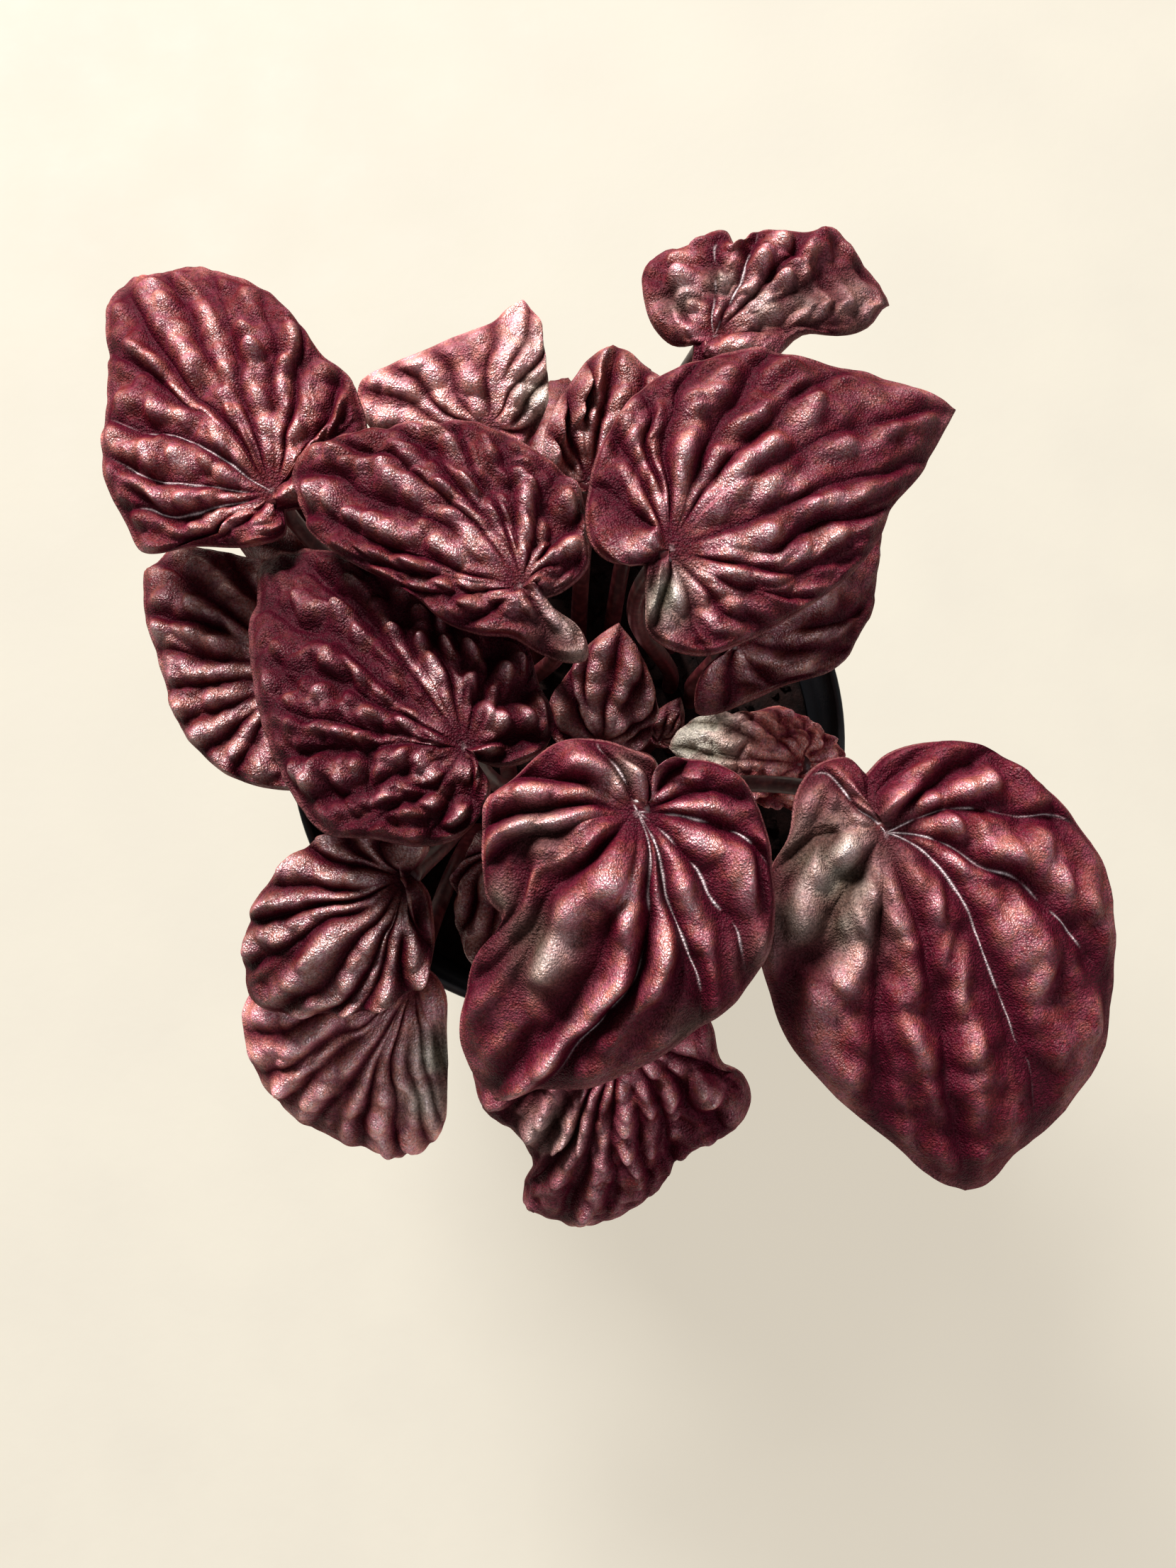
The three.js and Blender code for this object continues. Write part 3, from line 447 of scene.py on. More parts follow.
def margin_point(leaf, a):
    """Blade coordinates of the margin at a: 0 at the tip, 1 and -1 at the notch, positive on the left."""
    even = np.linspace(0, 1, MARGIN_SAMPLES)
    left = [np.interp(np.abs(a), even, line) for line in leaf["left_line"]]
    right = [np.interp(np.abs(a), even, line) for line in leaf["right_line"]]
    return np.where(a < 0, right[0], left[0]), np.where(a < 0, right[1], left[1])


def rib_lines(leaf):
    """Each rib's place on the margin, and how far its halfway point lies off the straight line to there."""
    if leaf["ribs"]:
        a, middle_p, middle_q = np.array(leaf["ribs"], float).T
        p, q = margin_point(leaf, a)
        off_p, off_q = middle_p - p / 2, middle_q - q / 2
    else:
        count = np.arange(1 - leaf["ridges"], leaf["ridges"])
        a = (count + drawn(RIB_JITTER, leaf["seed"], count, 21)) / leaf["ridges"]
        p, q = margin_point(leaf, a)
        bow = leaf["bow"] * np.sin(math.pi * a)
        off_p, off_q = -q * bow, p * bow
    return np.array([[-1, *a, 1], [0, *off_p, 0], [0, *off_q, 0]])


def rib_point(leaf, a, reach):
    """Blade coordinates on the way from the stalk to the margin at a, winding with the ribs."""
    places, off_p, off_q = leaf["rib_lines"]
    result = []
    for margin, off in zip(margin_point(leaf, a), (off_p, off_q)):
        control = margin / 2 + 2 * np.interp(a, places, off)
        result.append(2 * reach * (1 - reach) * control + reach * reach * margin)
    p, q = result
    rise_end, fall_start = WINDING_FULL
    winding = WINDING * smooth_step(0, rise_end, reach) * (1 - smooth_step(fall_start, 1, reach))
    x, y = p / WINDING_STEP, q / WINDING_STEP
    return (p + winding * soft_noise(leaf["seed"] + 15, x, y),
            q + winding * soft_noise(leaf["seed"] + 16, x, y))


def sheet_point(leaf, a, p, q):
    """The mean sheet of the blade in space."""
    along = p / leaf["length"]
    across = q / np.where(q > 0, leaf["half_left"], leaf["half_right"])
    reach = np.minimum(np.hypot(along, across), 1)
    lift = leaf["arch"] * 4 * along * (1 - along) + leaf["cup"] * across ** 2
    lift = lift + leaf["twist"] * along * across
    lift = lift + leaf["wave"] * reach ** 3 * np.sin(math.pi * leaf["waves"] * a + leaf["seed"])
    return (leaf["base"] + p[..., None] * leaf["forward"] + q[..., None] * leaf["leftward"]
            + lift[..., None] * leaf["upward"])


def sheet_normal(leaf, a, p, q, point):
    """The direction straight up from the mean sheet."""
    step = 0.05
    along = sheet_point(leaf, a, p + step, q) - point
    across = sheet_point(leaf, a, p, q + step) - point
    normal = np.cross(along, across)
    return normal / np.linalg.norm(normal, axis=-1, keepdims=True)


def rib_places(leaf, reach):
    """Places of the ribs round the margin, from -1 to 1 along the last axis, wandering with the reach."""
    places = leaf["rib_lines"][0]
    gaps = np.diff(places)
    room = np.concatenate([[0], np.minimum(gaps[1:], gaps[:-1]), [0]])
    reach = np.asarray(reach)[..., None]
    wander = soft_noise(leaf["seed"] + 30, reach * WANDER_BENDS, np.arange(len(places)) * WANDER_APART)
    return places + RIB_WANDER * room * wander * reach * (1 - reach)


def between_ribs(leaf, ridge, share, reach):
    """Place round the margin at a share of the way from one main rib to the next."""
    places = rib_places(leaf, reach)
    return places[..., ridge] * (1 - share) + places[..., ridge + 1] * share


def ridge_size(leaf, ridge):
    """Length of the ridge between two ribs, from the stalk to the margin, and its width there."""
    places = leaf["rib_lines"][0][ridge:ridge + 2]
    (start_p, end_p), (start_q, end_q) = margin_point(leaf, places)
    length = math.hypot(*[float(x) for x in margin_point(leaf, places.mean())])
    return length, math.hypot(end_p - start_p, end_q - start_q)


def forked_rib(leaf, ridge):
    """A rib that leaves another partway out and splits the ridge's outer part in two."""
    seed = leaf["seed"] * 3.1 + ridge
    start = drawn(FORK_START, seed, 1, 7)
    reach = np.linspace(start, 1, 16)
    foot = float(draw(seed, 2, 7) > 0.5)
    end = drawn(FORK_SHARE, seed, 3, 7)
    share = foot + (end - foot) * smooth_step(-0.15, 0.8, (reach - start) / (1 - start))
    return between_ribs(leaf, ridge, share, reach), reach


def cross_ribs(leaf, ridge, length):
    """Slanting ribs that pinch a ridge into lumps."""
    seed = leaf["seed"] * 5.7 + ridge
    spacing = leaf["cross_gap"] / length
    at, last = CROSS_BAND
    at += spacing * draw(seed, 4, 7)
    count = 0
    while at < last:
        count += 1
        share = np.linspace(0.02, 0.98, 9)
        slant = drawn(CROSS_SLANT, seed, 5, count) * (share - 0.5)
        bow = CROSS_BOW * np.sin(math.pi * share)
        reach = np.clip(at + spacing * (slant + bow), 0.05, 1)
        depth = min(drawn(CROSS_DEPTH, seed, 6, count) * leaf["pucker"], DEEPEST)
        yield between_ribs(leaf, ridge, share, reach), reach, depth
        at += spacing * drawn(CROSS_STEP, seed, 8, count)


def rib_depths(leaf, reach):
    """How deep each main rib is sunk at each ring. Some of those that aren't pale only begin partway out."""
    places = leaf["rib_lines"][0]
    index = np.arange(len(places))
    pale = [np.isclose(place, leaf["pale"]).any() for place in places]
    start = np.where(np.array(pale) | (index % 2 == 1), 0, drawn(RIB_START, leaf["seed"], index, 41))
    sunk = drawn(RIB_DEPTH, leaf["seed"], index, 42)
    ease_start, ease_end = RIB_EASE
    return sunk * smooth_step(start + ease_start, start + ease_end, reach[:, None])


def pinching_ribs(leaf, reach):
    """Forks and cross ribs as (places, reaches, depth at each mesh point, widest slope)."""
    for ridge in range(len(leaf["rib_lines"][0]) - 1):
        length, width = ridge_size(leaf, ridge)
        if width > FORK_WIDTH:
            fork, steps = forked_rib(leaf, ridge)
            yield fork, steps, DEEPEST * smooth_step(steps[0], steps[0] + FORK_EASE, reach), FORK_SLOPE
        for cross, steps, depth in cross_ribs(leaf, ridge, length):
            yield cross, steps, depth, leaf["cross_gap"] / SLOPES_PER_GAP


def pale_lines(leaf, p, q):
    """How close each blade point is to a rib that shows as a thin, broken, pale line."""
    steps = np.linspace(0, 1, 40)
    places = rib_places(leaf, steps)
    result = np.zeros(p.shape)
    for index, place in enumerate(leaf["rib_lines"][0]):
        if np.isclose(place, leaf["pale"]).any():
            gap = distance_to_line(p, q, *rib_point(leaf, places[:, index], steps), NEAR)
            half_width = PALE_HALF_WIDTH + layer(PALE_UNEVENNESS, leaf["seed"] + 19, p, q)
            result = np.maximum(result, np.exp(-(gap / half_width) ** 2))
    return result * np.clip(PALE_SHARE + layer(PALE_BREAKS, leaf["seed"] + 17, p, q), 0, 1)


def distance_to_line(p, q, line_p, line_q, limit):
    """Distance of each blade point from a bent line, or limit where it is further."""
    result = np.full(p.shape, limit)
    near = ((p > line_p.min() - limit) & (p < line_p.max() + limit)
            & (q > line_q.min() - limit) & (q < line_q.max() + limit))
    x, y = p[near][:, None], q[near][:, None]
    dx, dy = np.diff(line_p), np.diff(line_q)
    share = ((x - line_p[:-1]) * dx + (y - line_q[:-1]) * dy) / np.maximum(dx * dx + dy * dy, TINY)
    share = np.clip(share, 0, 1)
    gap = np.hypot(x - line_p[:-1] - share * dx, y - line_q[:-1] - share * dy)
    result[near] = np.minimum(gap.min(axis=1), limit)
    return result


def ridge_shares(leaf):
    """Shares of the way from one main rib to the next, closer together near the ribs."""
    even = np.arange(leaf["columns"]) / leaf["columns"]
    return even - COLUMN_CROWDING * np.sin(2 * math.pi * even)


def neighbours(grid, count):
    """The grid turned round the blade by up to so many columns either way."""
    return [np.roll(grid, shift, axis=1) for shift in range(-count, count + 1)]


def ridge_widths(leaf, reach):
    """Distance between the ribs on both sides of each mesh point, eased from one ridge into the next."""
    p, q = rib_point(leaf, rib_places(leaf, reach), reach[:, None])
    width = np.repeat(np.hypot(np.diff(p, axis=1), np.diff(q, axis=1)), leaf["columns"], axis=1)
    return np.mean(neighbours(width, leaf["columns"] // 4), axis=0)


def main_ridges(leaf, reach):
    """How far up its ridge each mesh point is, before forks and cross ribs pinch it."""
    share = ridge_shares(leaf)
    depth = rib_depths(leaf, reach)[..., None]
    depth = depth[:, :-1] + (depth[:, 1:] - depth[:, :-1]) * smooth_step(0, 1, share)
    crest = 1 - depth * (1 - np.sin(math.pi * share) ** RIDGE_SHARPNESS)
    return crest.reshape(len(reach), -1)


def soften(grid):
    """Each value averaged with those up to two columns and one ring away."""
    grid = np.mean(neighbours(grid, 2), axis=0)
    rings = np.pad(grid, ((1, 1), (0, 0)), mode="edge")
    return (rings[:-2] + rings[1:-1] + rings[2:]) / 3


def pinched_crest(leaf, reach, p, q, width, lump):
    """How far up its ridge each mesh point is, with forks, cross ribs and creases sunk into it."""
    crest = main_ridges(leaf, reach[:, 0])
    pinch = np.ones(crest.shape)
    for rib_a, rib_reach, depth, widest in pinching_ribs(leaf, reach):
        gap = distance_to_line(p, q, *rib_point(leaf, rib_a, rib_reach), NEAR)
        slope = np.clip(width * SLOPE_SHARE, LEAST_SLOPE, widest)
        rise = np.sin(math.pi / 2 * np.minimum(gap / slope, 1)) ** RIDGE_SHARPNESS
        pinch = np.minimum(pinch, 1 - depth * (1 - rise))
    crease = CREASE_DEPTH * min(leaf["pucker"], 1) * (1 - lump) * smooth_step(0.1, 0.3, reach)
    return soften(crest * np.minimum(pinch, 1 - crease))


def blade_relief(leaf, reach, p, q):
    """Height of the skin above the mean sheet, how far up a ridge it is, and how close to a pale rib."""
    seed = leaf["seed"]
    width = ridge_widths(leaf, reach[:, 0])
    lump = cobbles(seed + 18, p / leaf["lump_step"], q / leaf["lump_step"])
    crest = pinched_crest(leaf, reach, p, q, width, lump)
    fade = 1 - MARGIN_FADE * smooth_step(MARGIN_BAND, 1, reach)
    full = np.minimum(width * RIDGE_RISE, RIDGE_LIMIT) * leaf["relief"]
    ridges = full * fade * crest * (0.85 + layer(RIDGE_UNEVENNESS, seed + 14, p, q))
    lumps = LUMP_HEIGHT * (lump - LUMP_LEVEL) + layer(GRIT, seed + 12, p, q)
    lumps *= (0.3 + leaf["pucker"]) * np.minimum(width / LUMP_WIDTH, 1) * (0.35 + 0.65 * crest) * fade
    swell = layer(SWELL, seed + 13, p, q)
    rib = pale_lines(leaf, p, q) * (1 - smooth_step(*PALE_FADE, reach))
    droop = -MARGIN_DROOP * smooth_step(DROOP_BAND, 1, reach) ** 2
    height = smooth_step(0, HUB_REACH, reach) * (ridges + lumps + swell) + PALE_RISE * rib + droop
    # The crest that colours the skin falls to the hub's value near the stalk: painted shade round the hub.
    return height, HUB["crest"] + (crest - HUB["crest"]) * smooth_step(0.02, 0.3, reach), rib


def blade_grid(leaf):
    """Rings from the stalk to the margin and columns from rib to rib, closer together near the ribs."""
    reach = ((np.arange(leaf["rings"]) + 1) / leaf["rings"]) ** RING_SPACING
    places = rib_places(leaf, reach)
    gaps = np.diff(places, axis=1)
    a = places[:, :-1, None] + gaps[..., None] * ridge_shares(leaf)
    a = a.reshape(len(reach), -1)
    return np.broadcast_to(reach[:, None], a.shape), a


def blade_mesh(leaf):
    """The blade's closed skin: vertices, top faces, underside faces, and the masks that materials read."""
    reach, a = blade_grid(leaf)
    p, q = rib_point(leaf, a, reach)
    sheet = sheet_point(leaf, a, p, q)
    normal = sheet_normal(leaf, a, p, q, sheet)
    height, crest, rib = blade_relief(leaf, reach, p, q)
    middle = np.zeros((1, 1))
    hub = sheet_point(leaf, middle, middle, middle)[0, 0]
    top = sheet + normal * height[..., None]
    thickness = BLADE_THICKNESS * (1 - BLADE_THINNING * reach)
    bottom = sheet + normal * (lowest_nearby(height) - thickness)[..., None]
    rim = (top[-1] + bottom[-1]) / 2 + unit_rows(sheet[-1] - sheet[-2]) * BLADE_OVERHANG
    rings, rays = a.shape
    under_rings = np.arange(rings - 1 - UNDER_STEP, 0, -UNDER_STEP)[::-1]
    vertices = np.concatenate([
        [hub, hub - leaf["upward"] * BLADE_THICKNESS],
        top.reshape(-1, 3), rim, bottom[-1], bottom[under_rings, ::2].reshape(-1, 3)])
    # The crest mask, raised to the leaf's contrast, also widens the painted shade in the valleys.
    grids = {
        "crest": crest ** leaf["contrast"], "rib": rib, "edge": smooth_step(0.97, 1, reach),
        "silver": silver_sheen_patch(leaf, p, q)}
    masks = {name: np.concatenate([
        [HUB[name]] * 2, grid.ravel(), grid[-1], grid[-1], grid[under_rings, ::2].ravel()])
        for name, grid in grids.items()}
    return vertices, *blade_faces(rings, rays, len(under_rings)), masks


def blade_faces(rings, rays, under_rings):
    """Top and underside faces. After two middle points come the rings of top, rim, edge and underside."""
    rim = 2 + rings * rays
    edge = rim + rays
    under = edge + rays
    last_under = under + (under_rings - 1) * rays // 2
    top_faces = fan(0, 2, rays) + ring_quads(2, rings, rays) + join_rings(rim - rays, rim, rays)
    under_faces = join_rings(rim, edge, rays) + halve_ring(edge, last_under, rays)
    under_faces += flipped(ring_quads(under, under_rings, rays // 2) + fan(1, under, rays // 2))
    return top_faces, under_faces


def lowest_nearby(height):
    """Least height within some rings and two columns, so a coarser underside stays below the top."""
    rings = np.pad(height, ((UNDER_STEP, UNDER_STEP), (0, 0)), mode="edge")
    lowest = np.min([rings[i:i + len(height)] for i in range(2 * UNDER_STEP + 1)], axis=0)
    return np.min(neighbours(lowest, 2), axis=0)


def silver_sheen_patch(leaf, p, q):
    """How silvery each blade point is: partly the skin's own colour, partly a painted sheen."""
    patch = np.zeros(p.shape)
    for at_p, at_q, size, strength in leaf["silver"]:
        gap = np.hypot(p - at_p, q - at_q) / size
        patch = np.maximum(patch, strength * np.exp(-gap ** 2))
    return patch


def unit_rows(rows):
    return rows / np.maximum(np.linalg.norm(rows, axis=-1, keepdims=True), TINY)


def fan(hub, start, rays):
    """Triangles from one point to a ring."""
    return [(hub, start + i, start + (i + 1) % rays) for i in range(rays)]


def ring_quads(start, rings, rays):
    """Faces between rings that follow each other from start on."""
    faces = []
    for ring in range(rings - 1):
        faces += join_rings(start + ring * rays, start + (ring + 1) * rays, rays)
    return faces


def flipped(faces):
    return [face[::-1] for face in faces]


def halve_ring(outer, inner, rays):
    """Joins a ring to one with half as many points, seen from below."""
    faces = []
    for i in range(0, rays, 2):
        near, following = inner + i // 2, inner + (i // 2 + 1) % (rays // 2)
        faces.append((outer + i, near, outer + i + 1))
        faces.append((outer + i + 1, near, following))
        faces.append((outer + i + 1, following, outer + (i + 2) % rays))
    return faces


def join_rings(first, second, rays):
    """Faces between two rings with as many points."""
    return [(first + i, second + i, second + (i + 1) % rays, first + (i + 1) % rays) for i in range(rays)]


def tube_faces(rings, sides):
    """Faces of a closed tube, whose two end points follow its rings."""
    faces = []
    for ring in range(rings - 1):
        faces += join_rings((ring + 1) * sides, ring * sides, sides)
    faces += flipped(fan(rings * sides, 0, sides))
    return faces + fan(rings * sides + 1, (rings - 1) * sides, sides)


def stalk_path(leaf):
    """Straight up out of the soil, then over to the blade's underside."""
    collar = np.array([*leaf["root"], SOIL_TOP + SOIL_MOUND + COLLAR])
    foot = collar - [0, 0, ROOT_DEPTH + SOIL_MOUND + COLLAR]
    end = leaf["base"] - leaf["upward"] * BLADE_THICKNESS / 2
    span = np.linalg.norm(end - collar)
    rise = collar + [0, 0, span * leaf["rise"]]
    heading = unit(leaf["upward"] + STALK_LEAN * leaf["forward"])
    arrive = end - heading * span * leaf["arrive"]
    t = np.linspace(0, 1, STALK_STEPS)[:, None]
    bend = (1 - t) ** 3 * collar + 3 * (1 - t) ** 2 * t * rise + 3 * (1 - t) * t * t * arrive + t ** 3 * end
    return np.concatenate([[foot, (foot + collar) / 2], bend])


def tube_mesh(path, radii, sides):
    """A closed tube along a path, turned as little as possible from ring to ring."""
    tangents = unit_rows(np.gradient(path, axis=0))
    slanted = [0.3, 0.9, 0.1]
    across = np.cross(tangents[0], slanted)
    rings = []
    for point, tangent, radius in zip(path, tangents, radii):
        across = unit(across - tangent * np.dot(across, tangent))
        other = np.cross(tangent, across)
        angle = 2 * math.pi * np.arange(sides)[:, None] / sides
        rings.append(point + radius * (np.cos(angle) * across + np.sin(angle) * other))
    vertices = np.concatenate([np.concatenate(rings), [path[0]], [path[-1]]])
    return vertices, tube_faces(len(path), sides)


def add_object(name, data):
    thing = bpy.data.objects.new(name, data)
    bpy.context.scene.collection.objects.link(thing)
    return thing


def new_piece(name, vertices, faces, materials, smooth=True):
    """A mesh object from vertices in millimetres, riding on the part's one body."""
    mesh = bpy.data.meshes.new(name)
    mesh.from_pydata((np.asarray(vertices) * MM).tolist(), [], faces)
    mesh.polygons.foreach_set("use_smooth", [smooth] * len(mesh.polygons))
    for material in materials:
        mesh.materials.append(material)
    piece = add_object(name, mesh)
    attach(piece, "root")
    return piece


def set_mask(piece, name, values):
    attribute = piece.data.attributes.new(name, "FLOAT", "POINT")
    attribute.data.foreach_set("value", np.asarray(values, dtype=np.float32))


def place_leaf(row, seed):
    """A leaf's row with its seed, its axes in space, its smooth outline and its ribs."""
    leaf = {**PLAIN_LEAF, **row, "seed": seed}
    leaf["base"] = np.array(row["base"], float)
    reach = np.array(row["tip"], float) - leaf["base"]
    leaf["length"] = np.linalg.norm(reach)
    leaf["forward"] = unit(reach)
    level = unit(np.cross([0, 0, 1], leaf["forward"]))
    above = np.cross(leaf["forward"], level)
    roll = math.radians(leaf["roll"])
    leaf["leftward"] = level * math.cos(roll) + above * math.sin(roll)
    leaf["upward"] = np.cross(leaf["forward"], leaf["leftward"])
    for side, sign in (("left", 1), ("right", -1)):
        points = [(leaf["length"], 0), *row[side], (-leaf["notch"], 0)]
        leaf[side + "_line"] = smooth_line([(p, sign * q) for p, q in points])
        leaf["half_" + side] = max(LEAST_HALF_WIDTH * leaf["length"], *[q for _, q in row[side]])
    leaf["rib_lines"] = rib_lines(leaf)
    return leaf


def make_leaf(leaf, looks):
    """Blade and stalk as one piece round the leaf's solid."""
    blade, top, under, masks = blade_mesh(leaf)
    path = stalk_path(leaf)
    share = np.linspace(0, 1, len(path))
    radii = STALK_RADIUS * (STALK_FOOT - STALK_TAPER * share + STALK_FLARE * smooth_step(0.9, 1, share))
    stalk, stalk_faces = tube_mesh(path, radii, STALK_SIDES)
    offset = len(blade)
    faces = top + under + [tuple(corner + offset for corner in face) for face in stalk_faces]
    piece = new_piece(leaf["name"] + "_fine", np.concatenate([blade, stalk]), faces, looks)
    slots = np.repeat([0, 1, 2], [len(top), len(under), len(stalk_faces)])
    piece.data.polygons.foreach_set("material_index", slots)
    for name, values in masks.items():
        set_mask(piece, name, np.concatenate([values, np.zeros(len(stalk))]))
    for name in ("tone", "warmth"):
        set_mask(piece, name, np.full(offset + len(stalk), leaf[name]))
    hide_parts(leaf["name"])


class Nodes:
    """Short calls for building a node material. Noise and cells come so many to the metre."""

    def __init__(self, name):
        self.material = bpy.data.materials.new(name)
        self.material.use_nodes = True
        self.tree = self.material.node_tree
        self.shader = self.tree.nodes["Principled BSDF"]

    def add(self, kind, inputs, **settings):
        node = self.tree.nodes.new(kind)
        for key, value in settings.items():
            setattr(node, key, value)
        for key, value in inputs.items():
            self.feed(node.inputs[key], value)
        return node

    def feed(self, socket, value):
        """Links an input to another node's output, or gives it a number or a colour."""
        if isinstance(value, bpy.types.NodeSocket):
            self.tree.links.new(value, socket)
        elif socket.type == "RGBA":
            socket.default_value = (*value, 1)
        else:
            socket.default_value = value

    def set(self, **values):
        for name, value in values.items():
            self.feed(self.shader.inputs[name.replace("_", " ")], value)

    def mask(self, name):
        return self.add("ShaderNodeAttribute", {}, attribute_name=name).outputs["Fac"]

    def facing(self):
        """From 0 where the surface is seen square on to 1 where it's seen edge on."""
        return self.add("ShaderNodeLayerWeight", {}).outputs["Facing"]

    def place(self):
        return self.add("ShaderNodeNewGeometry", {}).outputs["Position"]

    def noise(self, scale, detail=3.0, roughness=0.55):
        inputs = {"Vector": self.place(), "Scale": scale, "Detail": detail, "Roughness": roughness}
        return self.add("ShaderNodeTexNoise", inputs).outputs["Fac"]

    def cells(self, scale):
        inputs = {"Vector": self.place(), "Scale": scale}
        return self.add("ShaderNodeTexVoronoi", inputs, feature="F1").outputs["Distance"]

    def math(self, operation, first, second):
        return self.add("ShaderNodeMath", {0: first, 1: second}, operation=operation).outputs[0]

    def fit(self, value, low, high, to_low=0.0, to_high=1.0):
        """A value from the range low to high, stretched to the range to_low to to_high."""
        inputs = {"Value": value, "From Min": low, "From Max": high, "To Min": to_low, "To Max": to_high}
        return self.add("ShaderNodeMapRange", inputs).outputs["Result"]

    def mix(self, share, first, second, blend="MIX"):
        inputs = {0: share, 6: first, 7: second}
        return self.add("ShaderNodeMix", inputs, data_type="RGBA", blend_type=blend).outputs[2]

    def grey(self, value):
        return self.add("ShaderNodeCombineColor", {0: value, 1: value, 2: value}).outputs[0]

    def bump(self, height, strength, distance):
        inputs = {"Height": height, "Strength": strength, "Distance": distance}
        self.set(Normal=self.add("ShaderNodeBump", inputs).outputs["Normal"])


def leaf_top_look():
    """Wine red ridges over near-black valleys, with pale rib lines and a fine-grained sheen. The ridge tops
    carry a painted highlight, the valleys painted shade over their own deep colour, the pale lines a painted
    glint and the silvery patches a painted sheen.
    """
    look = Nodes("leaf_top")
    crest = look.fit(look.mask("crest"), 0.08, 0.85)
    blotch = look.fit(look.noise(280, 4), 0.35, 0.7, -0.15, 0.45)
    # The ridge tops are painted lighter and pinker, a painted highlight, with random blotches over the whole
    # blade.
    painted_highlight_and_blotch = look.math("ADD", look.math("MULTIPLY", look.math("POWER", crest, 2.0), 0.7), blotch)
    warmth = look.math("ADD", look.mask("warmth"), look.fit(look.noise(420, 3), 0.35, 0.65, -0.9, 0.9))
    ridge = look.mix(warmth, look.mix(painted_highlight_and_blotch, *PURPLE), look.mix(painted_highlight_and_blotch, *BROWN))
    # Silvery patches: partly the skin's own colour, partly a painted sheen.
    patch = look.math("MULTIPLY", look.mask("silver"), look.fit(look.noise(180, 3), 0.3, 0.6, 0.5, 1))
    # Low on the crest the skin takes the valley colour: the leaf's own deep red with painted shade in the
    # creases.
    colour = look.mix(crest, look.mix(patch, *VALLEY), look.mix(patch, ridge, SILVER_SHEEN))
    # Pale lines along some ribs: partly pale veins, partly a painted glint.
    colour = look.mix(look.math("MULTIPLY", look.mask("rib"), 0.9), colour, PALE_RIB_AND_GLINT)
    colour = look.mix(look.math("MULTIPLY", look.mask("edge"), 0.25), colour, EDGE)
    speckle = look.fit(look.noise(2200, 2), 0.3, 0.7, 0.55, 1.6)
    # Each leaf's tone is partly its own lighter or darker colour and partly painted light, raised on leaves
    # that lie in shade.
    tone = look.math("MULTIPLY", look.mask("tone"), speckle)
    look.set(Base_Color=look.mix(1.0, colour, look.grey(tone), "MULTIPLY"))
    add_sheen(look, crest)
    return look.material


def add_sheen(look, crest):
    """A satin sheen on the tops of the ridges, broken up by blisters, cells and grain."""
    grain = look.noise(2400, 2)
    look.set(Roughness=look.fit(grain, 0.3, 0.7, 0.42, 0.56))
    blister = look.math("MULTIPLY", look.noise(900, 2), 0.5)
    look.bump(look.math("ADD", blister, look.math("ADD", look.cells(3000), grain)), 1.0, 0.0002)
    sparkle = look.fit(look.noise(2000, 2), 0.35, 0.65, 0.3, 1.7)
    gloss = look.math("MULTIPLY", look.math("POWER", crest, 3.0), sparkle)
    look.set(
        Specular_IOR_Level=look.fit(gloss, 0, 1.3, 0.02, 1.3),
        IOR=look.fit(look.facing(), 0.3, 0.8, 2.9, 1.25), Specular_Tint=SHEEN_TINT)


def leaf_under_look():
    """The paler underside, dull pink and grey, with reddish ribs."""
    look = Nodes("leaf_under")
    crest = look.fit(look.mask("crest"), 0.1, 0.8)
    flesh = look.mix(look.fit(look.noise(220, 4), 0.3, 0.7), (0.22, 0.09, 0.09), (0.27, 0.17, 0.14))
    look.set(Base_Color=look.mix(crest, (0.24, 0.05, 0.055), flesh))
    look.set(Roughness=look.fit(look.noise(1500, 2), 0.3, 0.7, 0.4, 0.55))
    look.bump(look.cells(1500), 0.3, 0.0002)
    look.set(Subsurface_Weight=0.06, Subsurface_Radius=(0.6, 0.15, 0.1), Subsurface_Scale=0.0015)
    return look.material


def stalk_look():
    """Fleshy, half-clear stalks, deep red with paler specks."""
    look = Nodes("stalk")
    speck = look.fit(look.noise(700, 4), 0.45, 0.75)
    look.set(Base_Color=look.mix(speck, (0.06, 0.006, 0.01), (0.17, 0.04, 0.04)))
    look.set(Roughness=look.fit(look.noise(400, 2), 0.3, 0.7, 0.28, 0.42))
    look.bump(look.noise(1200, 3), 0.25, 0.0002)
    look.set(Subsurface_Weight=0.12, Subsurface_Radius=(0.8, 0.2, 0.15), Subsurface_Scale=0.002)
    return look.material


def pot_look():
    """Black moulded plastic with faint scuffs and dust."""
    look = Nodes("pot_plastic")
    dust = look.fit(look.noise(60, 6, 0.65), 0.5, 0.8)
    dust = look.math("MULTIPLY", dust, 0.35)
    look.set(Base_Color=look.mix(dust, (0.012, 0.013, 0.016), (0.07, 0.066, 0.06)))
    look.set(Roughness=look.fit(look.noise(140, 5), 0.3, 0.7, 0.24, 0.4))
    look.bump(look.noise(900, 3), 0.12, 0.0002)
    return look.material


def soil_look():
    """Dark, damp potting mix."""
    look = Nodes("soil_mix")
    clod = look.fit(look.noise(320, 6, 0.7), 0.35, 0.7)
    look.set(Base_Color=look.mix(clod, (0.004, 0.002, 0.002), (0.022, 0.009, 0.008)))
    look.set(Roughness=look.fit(look.noise(500, 3), 0.3, 0.7, 0.75, 0.95))
    look.bump(look.noise(1400, 5, 0.7), 0.8, 0.0008)
    look.set(Specular_IOR_Level=0.1)
    return look.material


